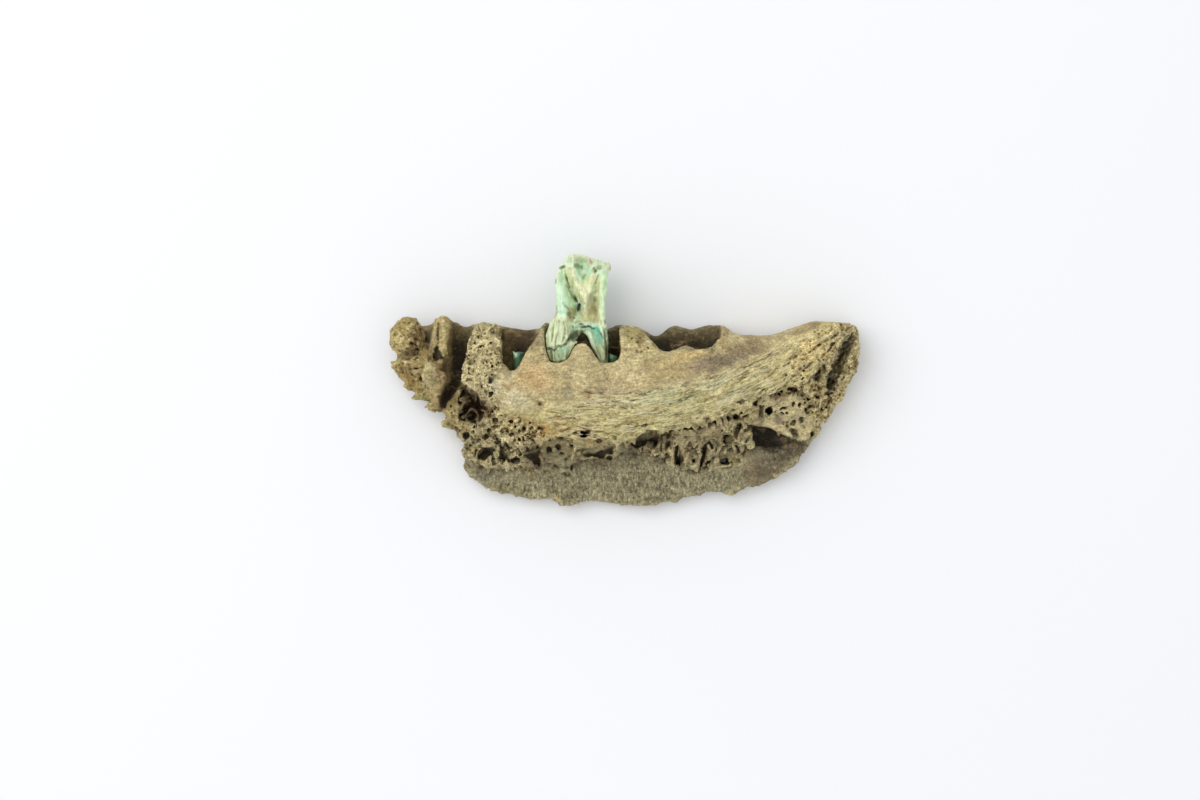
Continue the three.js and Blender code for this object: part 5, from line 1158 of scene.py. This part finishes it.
# Grooves: line, half width and depth below the skin
TOOTH_GROOVES = [
    ([(-6.5, 12.1), (-6.2, 11.0), (-5.9, 10.0), (-5.55, 9.2), (-5.0, 8.4), (-5.0, 7.7)], 0.08, 0.1),
    ([(-2.75, 11.3), (-3.1, 10.4), (-3.4, 9.7), (-3.6, 9.2)], 0.06, 0.07),
    ([(-3.1, 8.8), (-2.95, 7.7), (-2.65, 6.5), (-2.1, 5.0), (-1.95, 4.0)], 0.07, 0.1),
    ([(-5.35, 6.1), (-4.75, 6.1), (-4.5, 5.7), (-3.95, 5.8), (-3.6, 5.65), (-3.25, 5.55)], 0.11, 0.1),
    ([(-6.25, 4.1), (-5.85, 4.7), (-5.5, 5.2), (-4.9, 5.6), (-4.4, 5.6)], 0.1, 0.1),
    ([(-5.5, 5.4), (-5.6, 6.2), (-5.3, 7.2)], 0.08, 0.08),
    ([(-8.4, 3.4), (-7.9, 3.45), (-7.5, 3.2), (-7.1, 3.65), (-6.8, 3.5), (-6.2, 3.95)], 0.11, 0.26),
    ([(-7.0, 6.4), (-7.1, 5.2), (-7.4, 4.2), (-7.4, 3.6)], 0.09, 0.12),
    ([(-6.5, 6.4), (-6.3, 5.4), (-6.5, 4.4), (-6.7, 3.9)], 0.09, 0.12),
    ([(-7.5, 6.2), (-7.7, 5.0), (-7.8, 4.2)], 0.08, 0.1), ([(-6.1, 5.6), (-6.0, 4.9)], 0.07, 0.1),
    ([(-7.9, 3.2), (-7.8, 2.3)], 0.1, 0.12), ([(-7.2, 3.1), (-7.0, 2.4)], 0.08, 0.08),
    ([(-3.3, 5.2), (-2.6, 4.2), (-2.1, 3.4), (-1.9, 2.6)], 0.08, 0.1),
    ([(-3.0, 3.4), (-2.6, 2.5)], 0.07, 0.08), ([(-6.6, 8.3), (-6.0, 7.6), (-5.7, 7.1)], 0.06, 0.07),
    ([(-5.9, 11.4), (-5.4, 10.2), (-4.8, 9.2)], 0.05, 0.05),
]
# Holes: x, y, half sizes along and across, turn in degrees and depth
TOOTH_HOLES = [
    (-4.85, 7.9, 0.16, 0.48, -12, 0.8), (-3.25, 12.0, 0.12, 0.12, 0, 0.25),
    (-3.1, 11.75, 0.12, 0.1, 0, 0.25), (-6.75, 12.1, 0.35, 0.14, 10, 0.3),
    (-5.8, 6.75, 0.14, 0.1, 0, 0.2), (-5.4, 6.7, 0.12, 0.1, 0, 0.2), (-6.0, 7.2, 0.12, 0.08, 0, 0.2),
]
# The near root where it widens to fill its socket: outline, height and the slit left between it and the jaw
ROOT_SWELL = [
    (-7.75, 6.6), (-8.2, 5.4), (-8.6, 4.4), (-8.6, 3.0), (-8.3, 2.1), (-7.6, 1.8), (-6.9, 1.8),
    (-6.2, 2.1), (-5.6, 2.9), (-5.4, 3.5), (-5.1, 3.8), (-5.1, 4.15), (-5.6, 4.3), (-6.0, 5.0),
    (-6.2, 6.0),
]
ROOT_HEIGHT = 8.35
ROOT_FLOOR = 5.0
ROOT_SLIT = 0.13
LEFT_LEG = [(-8.4, 6.9), (-5.9, 6.9), (-5.5, 5), (-5.8, 3.0), (-6.2, 1.8), (-8.4, 1.8)]
# Patches of colour: outline, colour and strength
TOOTH_PATCHES = [
    ([(-7.3, 11.6), (-6.6, 11.6), (-6.0, 10), (-5.1, 8.4), (-5.2, 7.9), (-6.2, 7.9), (-7.2, 8.2)],
     (206, 238, 200), 0.85),
    ([(-7.2, 8.4), (-6.2, 8.2), (-5.9, 7.2), (-6.3, 6.9), (-7.2, 6.9)], (198, 236, 202), 0.8),
    ([(-6.5, 12.1), (-5.5, 12.3), (-5.3, 11.4), (-4.9, 10.4), (-4.0, 9.6), (-4.0, 8.2), (-4.9, 8.5),
      (-5.9, 10.0)], TOOTH_CREAM, 0.95),
    ([(-4.8, 10.4), (-3.9, 11.2), (-2.8, 11.5), (-3.4, 9.8), (-4.0, 8.1), (-4.5, 8.6)], (232, 232, 186),
     0.95),
    ([(-5.5, 12.6), (-3.7, 12.8), (-3.6, 11.4), (-4.5, 10.6), (-5.2, 11.0)], (224, 244, 216), 0.9),
    ([(-3.1, 11), (-2.5, 11.2), (-2.6, 9.5), (-2.5, 6.6), (-2.2, 5.6), (-2.9, 6.4), (-3.1, 8.5)],
     (226, 224, 178), 0.9),
    ([(-2.6, 11.4), (-1.8, 11.4), (-1.9, 9), (-2, 6), (-2.5, 6.4), (-2.6, 9)], (206, 238, 188), 0.9),
    ([(-6.7, 12.6), (-5.8, 13.6), (-4.2, 13.7), (-3.0, 13.0), (-1.3, 12.6), (-1.3, 11.8), (-3, 12.5),
      (-5.4, 12.8)], (190, 202, 164), 0.8),
    ([(-3.9, 9.3), (-3.3, 9.6), (-3.0, 8), (-3.0, 6.9), (-3.9, 7.2)], (178, 174, 130), 0.85),
    ([(-4.9, 7.7), (-3.9, 8.0), (-3.0, 7.9), (-2.7, 6.2), (-5.1, 6.2)], (184, 177, 128), 0.9),
    ([(-5.2, 7.2), (-4.7, 7.2), (-4.5, 6.4), (-5.3, 6.2)], (196, 214, 178), 0.8),
    ([(-6.1, 7.9), (-5.2, 7.6), (-5.2, 6.9), (-5.5, 6.1), (-6.1, 6.3)], (160, 150, 100), 0.8),
    ([(-7.9, 8.0), (-7.25, 8.0), (-7.25, 6.4), (-7.9, 6.4)], (168, 140, 106), 0.9),
    ([(-8.3, 6.7), (-6.0, 6.8), (-5.6, 5.2), (-6.2, 4.1), (-8.2, 3.4), (-8.4, 5)], (214, 224, 180), 0.9),
    ([(-6.4, 3.8), (-6.0, 4.6), (-5.4, 5.3), (-4.7, 5.6), (-4.1, 5.4), (-4.5, 4.8), (-5.2, 4.0)],
     (62, 78, 50), 1.0),
    ([(-5.5, 6.0), (-4.7, 6.0), (-4.2, 5.6), (-3.3, 5.5), (-3.4, 5.1), (-4.4, 5.3), (-5.0, 5.5)],
     (172, 204, 166), 0.8),
    ([(-3.7, 5.3), (-2.9, 5.9), (-2.2, 4.3), (-2.0, 3.6), (-2.9, 3.4), (-3.4, 4.4)], (128, 172, 138),
     0.85),
    ([(-3.1, 5.6), (-2.6, 5.5), (-2.3, 4.6), (-2.6, 4.2), (-2.9, 4.9)], (92, 196, 164), 0.6),
    ([(-2.3, 5.6), (-1.9, 5.6), (-1.6, 2.2), (-2.0, 2.0)], (70, 96, 62), 0.8),
    ([(-3.0, 3.8), (-2.0, 3.8), (-1.6, 1.8), (-2.5, 1.9)], (178, 190, 142), 0.85),
    ([(-8.4, 3.4), (-7.2, 3.3), (-6.2, 3.9), (-5.5, 3.8), (-5.6, 2.6), (-6.3, 1.8), (-8.3, 1.8)],
     (172, 190, 148), 0.95),
    ([(-8.0, 3.2), (-7.5, 3.2), (-7.4, 2.0), (-8.0, 2.0)], (128, 140, 96), 0.7),
    ([(-6.9, 3.4), (-6.1, 3.7), (-5.9, 2.9), (-6.6, 2.5)], (142, 186, 150), 0.7),
    ([(-6.2, 4.1), (-5.2, 4.4), (-5.0, 3.9), (-6.1, 3.6)], (206, 212, 172), 0.9),
]
# Small coloured marks: x, y, half sizes along and across, turn in degrees, colour and strength
TOOTH_MARKS = [
    (-5.1, 12.3, 0.4, 0.36, 0, (104, 128, 90), 0.8), (-4.9, 11.7, 0.2, 0.6, 15, (168, 196, 158), 0.6),
    (-3.6, 12.75, 0.22, 0.4, 10, (188, 128, 116), 0.8), (-2.6, 12.15, 0.4, 0.3, 0, (122, 152, 110), 0.8),
    (-3.2, 11.85, 0.3, 0.35, 0, (98, 118, 72), 0.7), (-4.7, 6.05, 0.35, 0.1, 0, TOOTH_TEAL, 0.9),
    (-4.35, 5.72, 0.45, 0.13, 0, (16, 84, 62), 0.95), (-3.7, 5.75, 0.3, 0.11, -20, (20, 92, 70), 0.95),
    (-3.3, 5.55, 0.3, 0.13, 0, (30, 116, 96), 0.9), (-2.9, 5.4, 0.35, 0.35, 0, (84, 196, 168), 0.7),
    (-5.3, 12.95, 0.9, 0.3, 10, (188, 200, 162), 0.6), (-5.5, 8.95, 0.25, 0.7, 30, (140, 124, 78), 0.5),
    (-6.7, 12.2, 0.45, 0.2, 20, (92, 100, 66), 0.8), (-5.9, 9.6, 0.08, 1.0, 28, (120, 112, 70), 0.6),
    (-5.2, 8.65, 0.12, 0.5, 30, (84, 72, 44), 0.7), (-4.55, 8.7, 0.2, 0.7, 30, (170, 160, 112), 0.6),
    (-1.9, 7.0, 0.14, 1.4, 0, (184, 208, 158), 0.6), (-2.05, 6.3, 0.12, 0.25, 0, (104, 124, 84), 0.8),
    (-7.4, 10.6, 0.15, 0.4, 0, (160, 174, 132), 0.8), (-4.0, 6.7, 0.5, 0.25, 0, (190, 198, 118), 0.5),
    (-5.9, 7.1, 0.35, 0.35, 0, (130, 116, 66), 0.6), (-6.3, 7.9, 0.3, 0.2, -30, (150, 152, 108), 0.6),
    (-2.3, 4.6, 0.12, 0.9, 28, (44, 66, 40), 0.8), (-1.95, 3.0, 0.1, 0.9, 0, (40, 70, 46), 0.8),
    (-6.0, 4.2, 0.12, 0.35, -20, (60, 70, 42), 0.8),
]


def pressed(clay, relief):
    """Raises or sinks the upward side of a lump by a map of the page."""
    upward = np.clip(np.gradient(clay.field, clay.step, axis=2), 0, 1)
    clay.field -= relief[:, :, None] * upward


def slit_from(clay, window, other, slit):
    """Cuts one lump back, in a part of its grid, to leave a slit between it and another lump."""
    places = np.meshgrid(*(axis[part] for axis, part in zip(clay.axes, window)), indexing="ij")
    apart = other.read(other.field, np.stack(places, axis=-1).reshape(-1, 3)).reshape(places[0].shape)
    clay.field[window] = np.maximum(clay.field[window], slit - apart)


def swelling(clay, outline, low, high):
    """Fills an outline with a lump that is rounded at its top."""
    middle, reach = spread(outline, 0.3)
    window, (dx, dy, dz) = clay.near((*middle, (low + high) / 2), (*reach, (high - low) / 2 + 0.3))
    x, y = np.broadcast_arrays(dx[:, :, 0] + middle[0], dy[:, :, 0] + middle[1])
    above = dz + (low + high) / 2
    side = -depth_inside(x, y, outline)[:, :, None] + 0.05 * clay.crook[window]
    shape = np.maximum(-met(-side, high - above, 0.7), low - above)
    clay.join(window, shape, 0.15)
    return window


tooth = Clay("cheek_tooth", TOOTH_STEP)
TX, TY = tooth.page
tooth.field = blurred(tooth.field, 0.2 / TOOTH_STEP)
root_window = swelling(tooth, ROOT_SWELL, ROOT_FLOOR, ROOT_HEIGHT)
relief = sum(height * region(tooth.page, outline, 0.1, 0.08) for outline, height in TOOTH_BANDS)
relief = relief - sum(depth * region(tooth.page, outline, 0.14, 0.1) for outline, depth in TOOTH_SINKS)
left_leg = region(tooth.page, LEFT_LEG, 0.3, 0.15)
relief = relief + 0.28 * left_leg * crags(TX * 2.6, TY * 0.45, seed=81)
relief = relief + 0.07 * crags(TX * 3.2, TY * 0.6, seed=82) + 0.04 * crags(TX * 1.6, TY * 1.6, seed=83)
pressed(tooth, relief)
size = tooth.field.shape
tooth.field += 0.05 * lumpy(size, 0.45 / TOOTH_STEP, 84) + 0.03 * lumpy(size, 0.22 / TOOTH_STEP, 85)
tooth_top = tooth.top()
for line, half, deep in TOOTH_GROOVES:
    groove(tooth, line, half, deep, tooth_top)
for x, y, along, across, turn, deep in TOOTH_HOLES:
    hollow(tooth, x, y, along, across, turn, deep, tooth_top)
slit_from(tooth, root_window, jaw, ROOT_SLIT)
trimmed(tooth, packed_box)
tooth_piece = fired("cheek_tooth_stained", tooth, TOOTH_TRIANGLES)
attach(tooth_piece, "root")
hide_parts("cheek_tooth")

spots = vertices(tooth_piece)
px, py, pz = spots.T
facing = tooth.outward(spots)[:, 2]
tint = np.repeat(linear(TOOTH_MINT)[None], len(spots), axis=0)
for outline, colour, strength in TOOTH_PATCHES:
    share = tooth.read_page(region(tooth.page, outline, 0.14, 0.12), spots)
    tint = mixed(tint, colour, share * strength * eased(facing, -0.1, 0.35))
tint = stained_and_shaded(tint, TOOTH_MARKS, px, py, eased(facing, -0.2, 0.3))
tint = mixed(tint, TOOTH_SIDE, eased(facing, 0.0, -0.4))
from_arch = np.hypot((px - ARCH_AT[0]) / ARCH_HALF[0], (py - ARCH_AT[1]) / ARCH_HALF[1])
tint = mixed(tint, ARCH_SHADE, eased(from_arch, 1.2, 0.8) * eased(facing, 0.5, 0.1))
fine_hollow = tooth.read(hollowness(tooth, 0.2), spots)
broad_hollow = tooth.read(hollowness(tooth, 0.6), spots)
# Painted highlight on the crown's sharp edges
tint = mixed(tint, TOOTH_EDGE_HIGHLIGHT, eased(fine_hollow, 0.46, 0.32) * 0.5)
# Dark fill and painted shade in fissures, broad hollows and the carved grooves and holes
tint = mixed(tint, TOOTH_FISSURE_DIRT_AND_SHADE, eased(fine_hollow, 0.6, 0.86) * 0.5)
tint = mixed(tint, TOOTH_FISSURE_DIRT_AND_SHADE, eased(broad_hollow, 0.7, 0.94) * 0.4)
tint = mixed(tint, TOOTH_FISSURE_DIRT_AND_SHADE, tooth.read(tooth.dirt_and_shade, spots) * 0.55)
lay(tooth_piece, "tint", tint)


def tooth_finish(name, roughness):
    made = Finish(name, roughness=roughness, specular=0.45)
    streaks = made.noise(made.place, (5.5, 0.7, 1.5), detail=4)
    mottle = made.noise(made.place, (1.7, 1.7, 1.7), detail=4)
    specks = made.noise(made.place, (7, 5, 5), detail=2)
    colour = made.laid("tint", "Color")
    colour = made.shaded(colour, made.ramp(streaks, 0.3, 0.7, 0.9, 1.17))
    colour = made.shaded(colour, made.ramp(mottle, 0.3, 0.7, 0.92, 1.12))
    colour = made.over(made.ramp(specks, 0.62, 0.74, 0, 0.35), colour, TOOTH_SPECK)
    return made.close(colour, made.maths("ADD", streaks, specks), ENAMEL_DEPTH)


tooth_piece.data.materials.clear()
tooth_piece.data.materials.append(tooth_finish("stained enamel", 0.5))

# The two broken root ends. Roots of lost teeth left in their sockets, snapped off short and stained a darker
# green than the tooth, with a paler broken face. Soil held them, so each keeps a slit from the jaw.

STUB_STEP = 0.06
STUB_SLIT = 0.2
STUB_TRIANGLES = 30000
# Node, name, colours of the side and the broken face, where that face is, and the outline and heights
# of its break
STUBS = [
    ("root_fragment_left", "root_end_left", (66, 102, 74), (196, 222, 188), (-12.0, 2.9),
     [(-12.0, 3.1), (-11.6, 2.85), (-11.3, 3.05), (-10.9, 2.9), (-10.9, 1.4), (-11.9, 1.4)], 4.6, 7.3),
    ("root_fragment_right", "root_end_right", (66, 104, 68), (140, 176, 130), (-1.6, 2.8),
     [(-1.72, 2.95), (-1.2, 2.75), (-0.6, 2.5), (-0.55, 1.5), (-1.7, 1.5)], 4.2, 6.3),
]
for node, name, colour, face, (face_x, face_y), outline, low, high in STUBS:
    stub = Clay(node, STUB_STEP)
    stub.field = blurred(stub.field, 0.12 / STUB_STEP)
    size = stub.field.shape
    stub.field += 0.06 * lumpy(size, 0.4 / STUB_STEP, 91) + 0.03 * lumpy(size, 0.18 / STUB_STEP, 92)
    window = swelling(stub, outline, low, high)
    slit_from(stub, window, jaw, STUB_SLIT)
    slit_from(stub, window, tooth, STUB_SLIT)
    trimmed(stub, packed_box)
    piece = fired(name, stub, STUB_TRIANGLES)
    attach(piece, "root")
    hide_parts(node)
    spots = vertices(piece)
    tint = np.repeat(linear(colour)[None], len(spots), axis=0)
    facing = stub.outward(spots)[:, 2]
    near_face = eased(np.hypot(spots[:, 0] - face_x, spots[:, 1] - face_y), 0.75, 0.3)
    tint = mixed(tint, face, eased(facing, 0.2, 0.8) * near_face)
    # Dark fill and painted shade in the stub's crevices
    tint = mixed(tint, TOOTH_FISSURE_DIRT_AND_SHADE, eased(stub.read(hollowness(stub, 0.2), spots), 0.55, 0.75) * 0.7)
    lay(piece, "tint", tint)
    piece.data.materials.clear()
    piece.data.materials.append(tooth_finish(node, 0.6))

# The setting. A plain pale floor under an even sky and one soft lamp from the upper left, seen from straight
# above. Places here are in metres.

FLOOR_WHITE = (247, 248, 250)
FLOOR_SIDE = 3
CAMERA_AT = (-0.0026, -0.00217, 0.554)
SENSOR = 36
SEEN_WIDTH, SEEN_FROM = 0.13043, 0.55  # what the picture spans, and how far off
SKY_TINT = (0.98, 0.99, 1, 1)
SKY_STRENGTH = 0.775
LAMP_AT = (-0.26, 0.16, 0.46)
LAMP_LEAN, LAMP_TURN = -34, 58  # degrees
LAMP_SIDE = 0.5
LAMP_POWER = 1.25

camera_data = bpy.data.cameras.new("camera")
camera = bpy.data.objects.new("camera", camera_data)
bpy.context.scene.collection.objects.link(camera)
camera.location = CAMERA_AT
camera_data.sensor_width = SENSOR
camera_data.lens = SENSOR * SEEN_FROM / SEEN_WIDTH
bpy.context.scene.camera = camera

bpy.ops.mesh.primitive_plane_add(size=FLOOR_SIDE)
floor = bpy.context.object
floor.name = "floor"
paper = Finish("pale floor", roughness=0.9, specular=0.1)
paper.shader.inputs["Base Color"].default_value = (*linear(FLOOR_WHITE), 1)
floor.data.materials.append(paper.material)

world = bpy.data.worlds.new("studio")
bpy.context.scene.world = world
world.use_nodes = True
sky = world.node_tree.nodes["Background"]
sky.inputs["Color"].default_value = SKY_TINT
sky.inputs["Strength"].default_value = SKY_STRENGTH

lamp_data = bpy.data.lights.new("softbox", "AREA")
lamp_data.energy = LAMP_POWER
lamp_data.size = LAMP_SIDE
lamp = bpy.data.objects.new("softbox", lamp_data)
bpy.context.scene.collection.objects.link(lamp)
lamp.location = LAMP_AT
lamp.rotation_euler = (math.radians(LAMP_LEAN), 0, math.radians(LAMP_TURN))
bpy.context.scene.view_settings.view_transform = "Standard"
